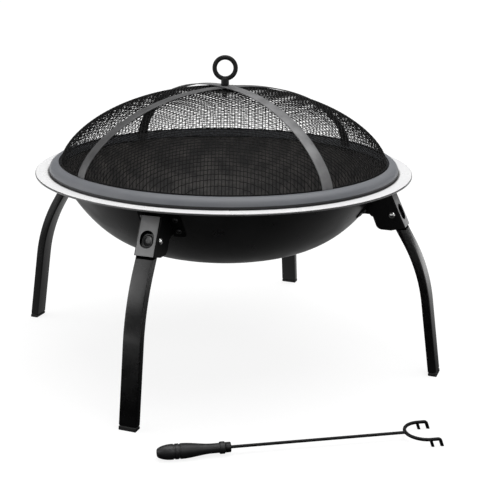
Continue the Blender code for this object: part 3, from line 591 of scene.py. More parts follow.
def bright_rim_steel():
    """Bright steel with fine turning marks, smudges and a dark line of painted shadow along the screen's foot.
    """
    finish = Finish("rim_bright_steel", grey(0.78), 0.0, 0.30, 0.35)
    out = finish.distance(finish.stretched((1.0, 1.0, 0.0)), (0.0, PIT_Y, 0.0))
    inputs = {"W": out, "Scale": 2600.0, "Detail": 4.0}
    turning = finish.step("ShaderNodeTexNoise", inputs, noise_dimensions="1D")
    smudges = finish.noise(14.0, detail=5.0)
    clean = finish.clouded(smudges, (0.35, 0.75), grey(0.80), grey(0.73, 0.01))
    # A dark line on the flange just outside the screen ring: painted shadow at the ring's foot
    full, faded = (RING_OUTER_RADIUS + width for width in PAINTED_SHADOW_LINE)
    painted_shadow = finish.ranged(out, (full, faded, 0.96, 0.0))
    finish.set("Base Color", finish.mixed(painted_shadow, clean, (0.012, 0.011, 0.010)))
    finish.set("Roughness", finish.ranged(smudges, (0.3, 0.75, 0.25, 0.36)))
    finish.bump(turning, distance=0.000006)
    return finish.material


def sooty_inside():
    """The bowl's inside: matte enamel, greyed by ash and heat."""
    finish = Finish("bowl_inside_enamel", (0.020, 0.019, 0.019), 0.0, 0.62, 0.3)
    ash = finish.noise(34.0, detail=8.0, rough=0.65)
    grain = finish.noise(480.0)
    finish.clouded(ash, (0.42, 0.68), (0.016, 0.015, 0.015), (0.060, 0.055, 0.052))
    finish.set("Roughness", finish.ranged(grain, (0.2, 0.8, 0.50, 0.78)))
    finish.bump(grain, distance=0.00010)
    return finish.material


def ring_grey():
    """Slate grey satin paint on the rolled ring, with worn paler patches along it."""
    finish = Finish("ring_slate_paint", (0.122, 0.128, 0.140), 0.0, 0.55)
    clouds = finish.noise(18.0, detail=6.0)
    finish.clouded(clouds, BLOTCH, (0.110, 0.116, 0.129), (0.134, 0.139, 0.150))
    finish.set("Roughness", finish.ranged(clouds, (*GLOSS, 0.48, 0.60)))
    finish.bump(finish.noise(700.0, detail=2.0), distance=0.00002)
    return finish.material


def rolled_steel(name, color, roughness, metallic=0.85):
    """Bare or zinc plated steel with rolling marks, blotches and small pits."""
    finish = Finish(name, color, metallic, roughness)
    grain = finish.noise(1100.0, detail=2.0)
    pits = finish.noise(260.0, detail=4.0)
    darker = [c * 0.6 for c in color]
    finish.clouded(finish.noise(48.0, detail=5.0), BLOTCH, color, darker)
    finish.set("Roughness", finish.ranged(grain, (0.2, 0.8, roughness - 0.08, roughness + 0.12)))
    finish.bump(finish.ranged(pits, (0.62, 0.75, 0, -1)), distance=0.00005)
    finish.bump(grain, distance=0.00002)
    return finish.material


def moulded_plastic(name, color, roughness):
    """Moulded plastic: fine spark-eroded grain and a few shiny rubbed spots."""
    finish = Finish(name, color, 0.0, roughness, 0.45)
    rub_and_shadow_mask = finish.noise(60.0, detail=4.0)
    lighter = [min(1.0, c * 1.6 + 0.004) for c in color]
    shiny = max(0.08, roughness - 0.10)
    finish.clouded(rub_and_shadow_mask, (0.45, 0.7), color, lighter)
    finish.set("Roughness", finish.ranged(rub_and_shadow_mask, (0.35, 0.7, roughness + 0.06, shiny)))
    finish.bump(finish.noise(1500.0, detail=2.0), distance=0.00004)
    return finish.material


# Every finish, by the name of what wears it. Each takes a colour and a roughness first.
PAINT = {
    "bowl": enamel("bowl_satin_enamel", grey(0.008, 0.0005), 0.31, scuff=0.02, specular=0.9),
    "rim": bright_rim_steel(),
    "inside": sooty_inside(),
    "ring": ring_grey(),
    # Painted shade for the screen ring's lower wall
    "shadow": enamel("ring_black_edge", grey(0.012, 0.001), 0.45),
    "cloth": enamel("black_wire_cloth", grey(0.003), 0.60, scuff=0.01, specular=0.12),
    # One strap steel in two copies: the first strap's darker tone is painted shade, the second's paler tone
    # painted light
    "strap_1": rolled_steel("strap_sooted_steel", grey(0.095, 0.002), 0.46, metallic=0.55),
    "strap_2": rolled_steel("strap_rolled_steel", grey(0.16, 0.003), 0.50, metallic=0.40),
    "handle": enamel("handle_black_paint", grey(0.005), 0.45, specular=0.2),
    # The bracket's web and side plates are one sheet: the web's pale grey is painted light, the plates'
    # near-black painted shade
    "bracket": enamel("bracket_grey_paint", grey(0.20, 0.002), 0.40, scuff=0.30),
    "plate": enamel("bracket_black_paint", grey(0.003, 0.0003), 0.42, scuff=0.03, specular=0.1),
    "rivet": rolled_steel("bright_rivet_steel", grey(0.96, -0.01), 0.18, metallic=1.0),
    "bolt": rolled_steel("black_oxide_bolt", grey(0.06, 0.002), 0.34),
    # The tube's dark band just below the bracket is painted shadow
    "tube": enamel("leg_satin_enamel", grey(0.002, 0.0002), 0.24, scuff=0.02, specular=0.5, shadow_band=SHADOW_BAND_HEIGHTS),
    "button": moulded_plastic("button_black_plastic", grey(0.004, 0.0005), 0.08),
    "cap": moulded_plastic("foot_cap_plastic", grey(0.012), 0.55),
    "spring": rolled_steel("spring_steel", grey(0.52, -0.02), 0.32, metallic=1.0),
    "grip": moulded_plastic("grip_black_plastic", grey(0.009, 0.0005), 0.50),
    "collar": rolled_steel("collar_dark_steel", grey(0.03, 0.001), 0.40),
    "rod": enamel("rod_black_paint", grey(0.004, 0.0003), 0.45, scuff=0.03, specular=0.2),
    "zinc": rolled_steel("zinc_plated_steel", grey(0.50, -0.02), 0.38, metallic=1.0),
}


def dress_node(name, finish):
    """Gives a CAD node that stays a finished material."""
    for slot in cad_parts[name].material_slots:
        slot.material = PAINT[finish]


# Shared shapes


def bowl_point(radius):
    return Vector((radius, -BOWL_DEPTH * (1 - (radius / MOUTH_RADIUS) ** BOWL_POWER)))


def bowl_curve(rings=34, spread=1.6):
    shares = [i / rings for i in range(rings)]
    return [bowl_point(MOUTH_RADIUS * (1 - (1 - share) ** spread)) for share in shares]


def dome_height(radius, extra=0.0):
    share = min(1.0, radius / (DOME_RADIUS + extra))
    return RING_CREST + (DOME_RISE + extra) * (1 - share**DOME_ROUNDNESS) ** DOME_FULLNESS


def direction(lean):
    return Vector((sin(lean), -cos(lean)))


def leg_path(steps=18):
    foot = (LEG_REACH, PIVOT_DROP - RIM_HEIGHT)
    return rounded_path([(0, 0), (KNEE_OUT, -KNEE_DROP), foot], [BEND_RADIUS], steps)


PIT = shift(y=PIT_Y)
RIM = shift(0, PIT_Y, RIM_HEIGHT)
LAY = rotation(pi / 2, "Z")
SIDEWAYS = rotation(pi / 2, "X")
LENGTHWISE = rotation(pi / 2, "Y")
TUBE_FRAME = rotation(-UPPER_LEAN, "Y")


def leg_matrix(index):
    turn = radians(FIRST_LEG_AZIMUTH + 360 / LEG_COUNT * index - 90)
    place = shift(PIVOT_RADIUS, 0, RIM_HEIGHT - PIVOT_DROP)
    return PIT @ rotation(turn, "Z") @ place


def pit_in_leg_frame():
    half_step = pi / BOWL_FLATS
    return shift(-PIVOT_RADIUS, 0, PIVOT_DROP) @ rotation(half_step, "Z")


# Bowl


def build_bowl():
    flat = -SHEET / 2
    edge = RIM_RADIUS - SHEET / 2
    curve = bowl_curve()
    corners = [curve[-1], (MOUTH_RADIUS, flat), (edge, flat), (edge, -LIP_DROP)]
    rim = rounded_path(corners, [MOUTH_CORNER, LIP_CORNER])
    section = sheet_section(curve[:-1] + rim, SHEET)
    section[0].x = section[-1].x = 0
    mesh = turned("bowl", section)

    def zone(polygon):
        radius = hypot(polygon.center.x, polygon.center.y - PIT_Y)
        # Only the flange's top outside the screen ring is bright steel. The black enamel on the bowl's outside
        # is its own paint; on the rounded lip and on the flange under the ring it is painted shade, a dark line
        # along the edge and the ring's shade.
        if radius > RING_OUTER_RADIUS - SHEET:
            return 1 if polygon.center.z > RIM_HEIGHT - SHEET * RIM_BRIGHT else 0
        middle = bowl_point(min(radius, MOUTH_RADIUS)).y + RIM_HEIGHT
        return 2 if polygon.center.z > middle else 0

    piece("fire_bowl", mesh, RIM, "pit", "bowl", ["bowl"], ("bowl", "rim", "inside"), zone)


# Spark screen


def build_ring():
    top = RING_CREST - SHEET / 2
    outer = RING_OUTER_RADIUS - SHEET / 2
    shoulder = []
    for i in range(1, SHOULDER_STEPS + 1):
        turn = pi / 2 * i / SHOULDER_STEPS
        out = RING_WALL_RADIUS + (outer - RING_WALL_RADIUS) * sin(turn)
        shoulder.append((out, RING_SHOULDER_FOOT + (top - RING_SHOULDER_FOOT) * cos(turn)))
    path = [(RING_WALL_RADIUS, RING_WALL_FOOT), (RING_WALL_RADIUS, top), *shoulder, (outer, GAP)]
    mesh = turned("ring", sheet_section(path, SHEET))

    # The ring's lower wall takes the near-black finish: painted shade, for the wall that stands in shade just
    # above the flange.
    def zone(polygon):
        return 1 if polygon.center.z < RIM_HEIGHT + RING_SHOULDER_FOOT - GAP else 0

    piece("screen_hoop", mesh, RIM, "screen", "ring", ["screen_ring"], ("ring", "shadow"), zone)


def build_strap(number, azimuth):
    """A strap over the dome, with a hole for the stem. The second one crosses over the first."""
    name = f"flat_strap_{number}"
    lift = (number - 1) * (STRAP_THICKNESS + GAP)
    extra = STRAP_CLEARANCE + STRAP_THICKNESS / 2
    reach = DOME_RADIUS + extra
    half = [(reach, RING_CREST - STRAP_TAIL)]
    for i in range(STRAP_STEPS):
        radius = reach * cos(pi / 2 * i / STRAP_STEPS)
        height = dome_height(radius, extra) + lift * (1 - (radius / reach) ** 2)
        half.append((radius, height))
    top = (0.0, dome_height(0, extra) + lift)
    path = [(-x, z) for x, z in half] + [top] + half[::-1]
    mesh = prism(name, sheet_section(path, STRAP_THICKNESS), STRAP_WIDTH)
    mesh = bevelled(mesh, STRAP_EDGE, segments=2)
    hole = STEM_RADIUS + GAP
    crown = top[1] + DOME_RISE
    drill = turned("stem_hole", [(0, crown), (hole, crown), (hole, 0), (0, 0)], steps=32)
    mesh = combined(mesh, "DIFFERENCE", drill)
    turn = rotation(radians(azimuth - 90), "Z")
    piece(name, mesh, RIM @ turn, "screen", "strap", [f"dome_strap_{number}"], [f"strap_{number}"])


def build_handle():
    """The eye and its collar, with the stem that runs down through the straps, the cloth and the nut."""
    stem_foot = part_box("ring_handle")[0].z - RIM_HEIGHT
    foot = dome_height(0) + STRAP_CLEARANCE + 2 * (STRAP_THICKNESS + GAP)
    top = foot + COLLAR_HEIGHT
    edges = rounded_edges(COLLAR_RADIUS, foot, top, COLLAR_EDGE)
    profile = [(0, top), *edges, (STEM_RADIUS, foot), (STEM_RADIUS, stem_foot), (0, stem_foot)]
    collar = turned("collar", profile, steps=48)
    loop = arc((0, HANDLE_CENTRE), HANDLE_RING_RADIUS, 0, 2 * pi, steps=64)[:-1]
    ring = wire("ring", [Vector((p.x, 0, p.y)) for p in loop], HANDLE_WIRE_RADIUS, sides=20, closed=True)
    mesh = combined(collar, "UNION", ring)
    piece("eye_handle", mesh, RIM, "screen", "handle", ["ring_handle"])


def node_group(name, inputs):
    """The wiring of a Geometry Nodes group. Each input is its default number or a kind of socket."""
    group = bpy.data.node_groups.new(name, "GeometryNodeTree")
    for label, value in {"Geometry": "Geometry", **inputs, "Material": "Material"}.items():
        number = "Int" if isinstance(value, int) else "Float"
        kind = value if isinstance(value, str) else number
        socket = group.interface.new_socket(label, in_out="INPUT", socket_type="NodeSocket" + kind)
        if kind == number:
            socket.default_value = value
    group.interface.new_socket("Geometry", in_out="OUTPUT", socket_type="NodeSocketGeometry")
    wiring = Wiring(group)
    wiring.inputs = wiring.node("NodeGroupInput").outputs
    return wiring


def end_group(w, geometry):
    """Makes copies real and gives them the material. Returns the finished group."""
    real = w.step("GeometryNodeRealizeInstances", {0: geometry})
    coated = w.step("GeometryNodeSetMaterial", {"Geometry": real, "Material": w.inputs["Material"]})
    w.put(coated, w.node("NodeGroupOutput").inputs[0])
    return w.tree


def run_group(obj, group, values):
    """The mesh that the group makes with these input values. The object is removed."""
    modifier = obj.modifiers.new("Nodes", "NODES")
    modifier.node_group = group
    for item in group.interface.items_tree:
        if item.in_out == "INPUT" and item.name in values:
            modifier[item.identifier] = values[item.name]
    return evaluated_mesh(obj)


def row_of_points(w, count, start, offset):
    inputs = {"Count": count, "Start Location": start, "Offset": offset}
    return w.step("GeometryNodeMeshLine", inputs, mode="OFFSET")


def cloth_tree():
    """Parallel crimped wires laid over the dome and cut off at its base."""
    sizes = {
        "Pitch": CLOTH_PITCH,
        "Wire": CLOTH_WIRE,
        "Weave": CLOTH_WEAVE,
        "Radius": DOME_RADIUS,
        "Rise": DOME_RISE,
        "Roundness": DOME_ROUNDNESS,
        "Fullness": DOME_FULLNESS,
        "Wires": 2,
        "Start": 0.0,
        "Parity": 0,
    }
    w = node_group("dome_cloth", sizes)
    i = w.inputs
    # one line of crossings, copied for each wire
    half_count = w.math("CEIL", w.math("DIVIDE", i["Radius"], i["Pitch"]))
    count = w.math("ADD", w.math("MULTIPLY", half_count, 2), 1)
    begin = w.math("MULTIPLY", w.math("MULTIPLY", i["Pitch"], half_count), -1)
    line = row_of_points(w, count, w.vector(y=begin), w.vector(y=i["Pitch"]))
    across = row_of_points(w, i["Wires"], w.vector(x=i["Start"]), w.vector(x=i["Pitch"]))
    copies = w.step("GeometryNodeInstanceOnPoints", {"Points": across, "Instance": line})
    lines = w.step("GeometryNodeRealizeInstances", {0: copies})
    # cut the wires at the base circle
    spot = w.parts(w.node("GeometryNodeInputPosition").outputs[0])
    x, y = spot["X"], spot["Y"]
    radius = w.math("MULTIPLY", i["Radius"], CLOTH_REACH)
    room = w.math("SUBTRACT", w.square(radius), w.square(x))
    half = w.math("SQRT", w.math("MAXIMUM", room, 0.0))
    beyond = w.math("GREATER_THAN", w.math("ABSOLUTE", y), w.math("ADD", half, i["Pitch"]))
    outside = w.math("GREATER_THAN", w.math("ABSOLUTE", x), radius)
    gone = {"Geometry": lines, "Selection": w.math("MAXIMUM", beyond, outside)}
    kept = w.step("GeometryNodeDeleteGeometry", gone, domain="POINT")
    held = w.math("MINIMUM", w.math("MAXIMUM", y, w.math("MULTIPLY", half, -1)), half)
    # height on the dome, and over or under at each crossing
    out = w.math("SQRT", w.math("ADD", w.square(x), w.square(held)))
    share = w.math("MINIMUM", w.math("DIVIDE", out, i["Radius"]), 1.0)
    fall = w.math("SUBTRACT", 1.0, w.math("POWER", share, i["Roundness"]))
    rise = w.math("POWER", w.math("MAXIMUM", fall, 0.0), i["Fullness"])
    column = w.math("ROUND", w.math("DIVIDE", w.math("SUBTRACT", x, i["Start"]), i["Pitch"]))
    row = w.math("ROUND", w.math("DIVIDE", y, i["Pitch"]))
    odd = w.math("FLOORED_MODULO", w.math("ADD", w.math("ADD", column, row), i["Parity"]), 2)
    wave = w.math("MULTIPLY", w.math("SUBTRACT", w.math("MULTIPLY", odd, 2), 1), i["Weave"])
    height = w.math("ADD", w.math("MULTIPLY", i["Rise"], rise), wave)
    lifted = w.step("GeometryNodeSetPosition", {"Geometry": kept, "Position": w.vector(x, held, height)})
    # round wires along the lines
    curve = w.step("GeometryNodeMeshToCurve", {0: lifted})
    section = w.step("GeometryNodeCurvePrimitiveCircle", {"Resolution": CLOTH_SIDES, "Radius": i["Wire"]})
    wires = {"Curve": curve, "Profile Curve": section, "Fill Caps": True}
    return end_group(w, w.step("GeometryNodeCurveToMesh", wires))


def build_cloth():
    """Warp and weft of the fine woven cloth, each in one piece, and the hem wire."""
    tree = cloth_tree()
    count = 2 * int(DOME_RADIUS / CLOTH_PITCH)
    start = -(count - 1) / 2 * CLOTH_PITCH
    base = RIM @ shift(z=RING_CREST)
    for name, turn, parity in (("cloth_warp", 0.0, 0), ("cloth_weft", pi / 2, 1)):
        values = {"Wires": count, "Start": start, "Parity": parity, "Material": PAINT["cloth"]}
        mesh = run_group(new_object(name, bpy.data.meshes.new(name)), tree, values)
        piece(name, mesh, base @ rotation(turn, "Z"), "screen", "cloth", ["screen_mesh"])
    hoop = arc((0, 0), DOME_RADIUS, 0, 2 * pi, TURN_STEPS)[:-1]
    hem = wire("hem", [Vector((p.x, p.y, 0)) for p in hoop], HEM_WIRE, sides=8, closed=True)
    piece("cloth_hem", hem, base, "screen", "cloth", ["screen_mesh"])


# Brackets


def web_points(out):
    """The top and the foot of a line along the web, at a distance out from the pivot."""
    normal = Vector((cos(WEB_TILT), sin(WEB_TILT)))
    down = direction(WEB_TILT)
    top = PIVOT_DROP - BRACKET_TOP_DROP
    reach = (out * normal.y - top) / cos(WEB_TILT)
    return normal * out + down * reach, normal * out + down * WEB_BELOW_PIVOT


def channel_outline():
    top = PIVOT_DROP - BRACKET_TOP_DROP
    bottom = PIVOT_DROP - BRACKET_BOTTOM_DROP
    step = PIVOT_DROP - SIDE_STEP_DROP
    ear_back = -SIDE_BACK - EAR_SHEET
    web_top, web_low = web_points(WEB_OFFSET)
    points = [
        web_top,
        web_low,
        web_points(WEB_OFFSET - WEB_SHEET)[1],
        (0, bottom),
        (-SIDE_BACK + SIDE_SLANT, bottom),
        (-SIDE_BACK, step),
        (ear_back, step),
        (ear_back - SIDE_NOTCH, step + SIDE_NOTCH),
        (-PIVOT_RADIUS / 3, step + SIDE_NOTCH),
        (-PIVOT_RADIUS / 3, top),
    ]
    return rounded_path(points, [0, 0, 0, SIDE_CORNER, 0, 0, 0, 0])


def folded_channel(inside, outside):
    """The U section of the folded sheet, with rounded folds, run along the web."""
    back = -PIVOT_RADIUS / 2
    outer = [(back, outside), (WEB_OFFSET, outside), (WEB_OFFSET, -outside), (back, -outside)]
    web_back = WEB_OFFSET - WEB_SHEET
    inner = [(back, inside), (web_back, inside), (web_back, -inside), (back, -inside)]
    small = max(FOLD_RADIUS - BRACKET_SHEET, GAP)
    outline = rounded_path(outer, [FOLD_RADIUS, FOLD_RADIUS]) + rounded_path(inner, [small, small])[::-1]
    mesh = prism("channel", outline, PIVOT_RADIUS)
    stand = Matrix(((1, 0, 0, 0), (0, 0, 1, 0), (0, 1, 0, 0), (0, 0, 0, 1)))
    mesh.transform(rotation(-WEB_TILT, "Y") @ stand)
    return tidied(mesh)


def bowl_envelope(name, gap):
    """The bowl's outside as one solid with flats, moved outwards by the gap, for seating the brackets."""
    outer = side_of(bowl_curve(rings=10) + [bowl_point(MOUTH_RADIUS)], -SHEET / 2 - gap)
    outer[0].x = 0
    outer += [Vector((outer[-1].x, BOWL_BLANK_TOP)), Vector((0, BOWL_BLANK_TOP))]
    return turned(name, outer[::-1], BOWL_FLATS)


def ear_blank(start, end):
    """Two upright bars beside the channel, from which the ears are cut."""
    top = PIVOT_DROP - BRACKET_TOP_DROP - GAP
    low = PIVOT_DROP - EAR_BOTTOM_DROP
    outline = rounded_path([(start, top), (end, top), (end, low), (start, low)], [EAR_CORNER, EAR_CORNER])
    reach = PIVOT_RADIUS / 2
    bars = [prism("ear", [(x * side, z) for x, z in outline], reach, -reach / 2) for side in (1, -1)]
    for bar in bars:
        bar.transform(rotation(-pi / 2, "Z"))
    return combined(bars[0], "UNION", bars[1])


def build_bracket():
    inside = TUBE_WIDTH / 2 + SIDE_GAP
    outside = inside + BRACKET_SHEET
    channel = folded_channel(inside, outside)
    bracket = combined(prism("side_view", channel_outline(), 3 * outside), "INTERSECT", channel)
    slab = combined(
        ear_blank(outside - BRACKET_SHEET / 2, outside + EAR_WIDTH),
        "INTERSECT",
        bowl_envelope("ear_face", GAP + EAR_SHEET),
        pit_in_leg_frame(),
    )
    bracket = combined(bracket, "UNION", slab)
    bracket = combined(bracket, "DIFFERENCE", bowl_envelope("bowl_seat", GAP), pit_in_leg_frame())
    hole = prism("window", oval(HOLE_WIDTH, HOLE_HEIGHT, 64, -HOLE_BELOW_PIVOT), HOLE_WIDTH)
    tilt = rotation(-WEB_TILT, "Y")
    bracket = combined(bracket, "DIFFERENCE", hole, tilt @ shift(WEB_OFFSET) @ LAY)
    bracket = combined(bracket, "DIFFERENCE", pivot_drill(), SIDEWAYS)
    return bevelled(bracket, BRACKET_EDGE, segments=1, angle=CORNER_ANGLE)


def pivot_drill():
    radius = RIVET_RADIUS + PIVOT_PLAY
    profile = [(0, TUBE_WIDTH), (radius, TUBE_WIDTH), (radius, -TUBE_WIDTH), (0, -TUBE_WIDTH)]
    return turned("pivot_drill", profile, steps=32)


# Rivets and bolts


def head_tree(name):
    """Puts a copy of the head mesh at each point, turned by the point's own rotation."""
    w = node_group(name, {"Head": "Object"})
    head = w.node("GeometryNodeObjectInfo")
    w.put(w.inputs["Head"], head.inputs["Object"])
    turn = w.node("GeometryNodeInputNamedAttribute", data_type="FLOAT_VECTOR")
    w.put("turn", turn.inputs["Name"])
    inputs = {
        "Points": w.inputs["Geometry"],
        "Instance": head.outputs["Geometry"],
        "Rotation": turn.outputs["Attribute"],
    }
    return end_group(w, w.step("GeometryNodeInstanceOnPoints", inputs))


def spread_heads(name, head, matrices, material):
    """One mesh of a head at each place, made by Geometry Nodes."""
    points = bpy.data.meshes.new(name)
    points.from_pydata([matrix.translation for matrix in matrices], [], [])
    turns = points.attributes.new("turn", "FLOAT_VECTOR", "POINT")
    for item, matrix in zip(turns.data, matrices):
        item.vector = matrix.to_euler()
    carrier = new_object(name, points)
    source = new_object(name + "_head", head)
    mesh = tidied(run_group(carrier, head_tree(name), {"Head": source, "Material": material}))
    bpy.data.objects.remove(source)
    return mesh


def bolt_matrix(side, drop):
    """Where a bolt head stands on an ear, in the leg's frame: square to the bowl's flat there."""
    across = side * (TUBE_WIDTH / 2 + SIDE_GAP + BRACKET_SHEET + BOLT_OUT)
    turn = side * 2 * pi / BOWL_FLATS
    share = (1 - drop / BOWL_DEPTH) ** (1 / BOWL_POWER)
    radius = MOUTH_RADIUS * share
    slope = atan(BOWL_DEPTH * BOWL_POWER / MOUTH_RADIUS * share ** (BOWL_POWER - 1))
    flat = radius * cos(pi / BOWL_FLATS)
    stand = SHEET / 2 + 2 * GAP + EAR_SHEET
    out = flat + stand * sin(slope)
    height = -drop - stand * cos(slope)
    slide = (across - side * out * sin(abs(turn))) / cos(turn)
    place = shift(out, slide, height)
    lean = rotation(pi - slope, "Y")
    to_pivot = shift(-PIVOT_RADIUS, 0, PIVOT_DROP)
    return to_pivot @ rotation(turn, "Z") @ place @ lean


def dome_profile(radius, height, steps, flat=0.0):
    """A domed head from its top to the edge of its flat underside."""
    profile = [(0, height)]
    for i in range(1, steps + 1):
        turn = pi / 2 * i / steps
        profile.append((flat + (radius - flat) * sin(turn), height * cos(turn)))
    return profile[:-1] + [(radius, 0)]


def build_bolts():
    outside = dome_profile(BOLT_HEAD_RADIUS, BOLT_HEAD_HEIGHT, steps=6, flat=BOLT_HEAD_FLAT)
    head = turned("bolt_head", outside + [(0, 0)], steps=24)
    corners = [(0, SOCKET_TOP), (SOCKET_RADIUS, SOCKET_TOP), (SOCKET_RADIUS, SOCKET_FLOOR), (0, SOCKET_FLOOR)]
    head = combined(head, "DIFFERENCE", turned("bolt_socket", corners, SOCKET_SIDES))
    places = [(s, d) for s in (-1, 1) for d in BOLT_DROPS]
    matrices = [leg_matrix(leg) @ bolt_matrix(*place) for leg in range(LEG_COUNT) for place in places]
    mesh = spread_heads("ear_bolts", head, matrices, PAINT["bolt"])
    names = [f"bracket_bolt_{leg}_{k}" for leg in range(1, LEG_COUNT + 1) for k in range(1, 5)]
    piece("ear_bolts", mesh, Matrix(), "pit", "bolt", names)


def build_rivets():
    side = TUBE_WIDTH / 2 + SIDE_GAP + BRACKET_SHEET + PIVOT_PLAY
    profile = [(x, z + side) for x, z in dome_profile(RIVET_HEAD_RADIUS, RIVET_HEAD_HEIGHT, steps=8)]
    profile.append((RIVET_RADIUS, side))
    whole = profile + [(x, -z) for x, z in profile[::-1]]
    rivet = turned("rivet", whole, steps=32)
    matrices = [leg_matrix(leg) @ SIDEWAYS for leg in range(LEG_COUNT)]
    mesh = spread_heads("pivot_rivets", rivet, matrices, PAINT["rivet"])
    names = [f"pivot_rivet_{leg}" for leg in range(1, LEG_COUNT + 1)]
    piece("pivot_rivets", mesh, Matrix(), "pit", "rivet", names)


# Legs


def tube_outline(depth, top_radius, extra):
    """The tube seen from its side: round at the pivot, bent, and longer at the foot by the extra length."""
    rise = sqrt(top_radius**2 - (depth / 2) ** 2)
    path = leg_path()
    path[0] = -direction(UPPER_LEAN) * rise
    path[-1] = path[-1] + (path[-1] - path[-2]).normalized() * extra
    middle = pi / 2 + UPPER_LEAN
    spread = acos(rise / top_radius)
    top = arc((0, 0), top_radius, middle + spread, middle - spread, steps=14)
    return sheet_section(path, depth) + top[1:-1]


def build_tube():
    cut = -(CAP_HEIGHT + GAP) / cos(LOWER_LEAN) - TUBE_DEPTH / 2 * tan(LOWER_LEAN)
    tube = prism("tube", tube_outline(TUBE_DEPTH, TUBE_TOP_RADIUS, cut), TUBE_WIDTH)
    tube = bevelled(tube, TUBE_CORNER, segments=5, angle=CORNER_ANGLE)
    inner = TUBE_DEPTH - 2 * TUBE_WALL
    hollow = tube_outline(inner, TUBE_TOP_RADIUS - TUBE_WALL, TUBE_WALL)
    tube = combined(tube, "DIFFERENCE", prism("hollow", hollow, TUBE_WIDTH - 2 * TUBE_WALL))
    tube = combined(tube, "DIFFERENCE", pivot_drill(), SIDEWAYS)
    outline = oval(BUTTON_WIDTH + 2 * GAP, BUTTON_HEIGHT + 2 * GAP, 48, -BUTTON_BELOW_PIVOT)
    window = prism("window", outline, TUBE_DEPTH / 2)
    return combined(tube, "DIFFERENCE", window, TUBE_FRAME @ shift(TUBE_DEPTH / 2) @ LAY)


def build_button():
    """The thumb button: an oval with a rounded edge and a dished face, clear of its spring when pressed."""
    face = TUBE_DEPTH / 2 + BUTTON_PROUD
    tool = bmesh.new()
    loops = []
    for share, rise in BUTTON_EDGE + BUTTON_DISH:
        shape = oval(BUTTON_WIDTH * share, BUTTON_HEIGHT * share, BUTTON_STEPS, -BUTTON_BELOW_PIVOT)
        loops.append([tool.verts.new((face + rise, x, z)) for x, z in shape])
    for lower, upper in zip(loops, loops[1:]):
        for a, b, c, d in zip(lower, lower[1:] + lower[:1], upper[1:] + upper[:1], upper):
            tool.faces.new((a, b, c, d))
    tool.faces.new(loops[-1])
    tool.faces.new(loops[0][::-1])
    mesh = bpy.data.meshes.new("button")
    tool.to_mesh(mesh)
    tool.free()
    mesh = tidied(mesh)
    mesh.transform(TUBE_FRAME)
    return mesh


def build_legs():
    tube, bracket, button = build_tube(), build_bracket(), build_button()
    for leg in range(LEG_COUNT):
        number = leg + 1
        place = leg_matrix(leg)
        web = (place @ rotation(-WEB_TILT, "Y")).to_3x3() @ Vector((1, 0, 0))

        # The web's outer face gets the pale grey and the side plates and folds the near-black: painted light
        # and painted shade on one sheet.
        def face(polygon, web=web):
            return 1 if polygon.normal.dot(web) > LIT_WEB_LIMIT else 0

        parts = (
            ("bent_leg", tube, f"leg_{number}", "tube", "leg_tube"),
            ("folded_bracket", bracket, "pit", "bracket", "leg_bracket", ("plate", "bracket"), face),
            ("thumb_button", button, f"button_{number}", "button", "lock_button"),
        )
        for name, mesh, body, slot, node, *coats in parts:
            piece(f"{name}_{number}", mesh, place, body, slot, [f"{node}_{number}"], *coats)
        dress_node(f"foot_cap_{number}", "cap")
        dress_node(f"leaf_spring_{number}", "spring")


# Poker


def tine_reach():
    return FORK_BASE + FORK_HALF_WIDTH + PRONG_STRAIGHT + PRONG_HOOK_LEAN


def poker_matrix():
    pitch = atan((TINE_DROP - GRIP_RADIUS) / tine_reach())
    place = shift(POKER_BUTT[0], POKER_BUTT[1] + PIT_Y, GRIP_RADIUS * cos(pitch))
    return place @ rotation(POKER_YAW, "Z") @ rotation(-pitch, "Y")


def grip_radius(along):
    """The grip's outside at a distance from the butt: rounded end, swell and waist."""
    if along < GRIP_BUTT:
        return GRIP_RADIUS * sqrt(1 - GRIP_BUTT_TAPER * (1 - along / GRIP_BUTT) ** 2)
    share = (along - GRIP_SWELL_END) / (GRIP_WAIST - GRIP_SWELL_END)
    share = min(1.0, max(0.0, share))
    return GRIP_RADIUS - (GRIP_RADIUS - GRIP_WAIST_RADIUS) * (1 - cos(pi * share)) / 2


def groove_profile(place):
    """One groove round the grip, with rounded shoulders, from its front edge to its back edge."""
    half = GROOVE_WIDTH / 2
    bottom = grip_radius(place) - GROOVE_DEPTH
    slope = GROOVE_DEPTH / 2
    shoulders = [(grip_radius(place + half * step), place + half * step) for step in (2, 1, -1, -2)]
    bed = [(bottom, place + half - slope), (bottom, place - half + slope)]
    path = rounded_path(shoulders[:2] + bed + shoulders[2:], [slope / 2] * 4, steps=3)
    return [tuple(point) for point in path[1:-1]]


def build_grip():
    hole = ROD_RADIUS + GAP
    deep = GRIP_LENGTH - TANG_LENGTH - GAP
    flare = GRIP_LENGTH - GRIP_FLARE_LENGTH
    run = [GRIP_WAIST - (GRIP_WAIST - GRIP_SWELL_END) * i / GRIP_STEPS for i in range(GRIP_STEPS + 1)]
    profile = [
        (0, deep),
        (hole, deep),
        (hole, GRIP_LENGTH),
        *rounded_edges(GRIP_FLARE_RADIUS, flare, GRIP_LENGTH, GRIP_EDGE),
        (GRIP_WAIST_RADIUS, flare - GRIP_EDGE / 2),
    ]
    profile += [(grip_radius(along), along) for along in run]
    for place in GROOVE_PLACES:
        profile += groove_profile(place)
    butt = [GRIP_BUTT * (1 - i / BUTT_STEPS) for i in range(BUTT_STEPS)] + [GRIP_BUTT_EDGE]
    profile += [(grip_radius(along), along) for along in butt]
    end = grip_radius(0) - GRIP_BUTT_EDGE
    profile += arc((end, GRIP_BUTT_EDGE), GRIP_BUTT_EDGE, -pi / 6, -pi / 2, steps=5) + [(0, 0)]
    mesh = turned("grip", profile, steps=64)
    piece("grip", mesh, poker_matrix() @ LENGTHWISE, "poker", "grip", ["poker_grip"])


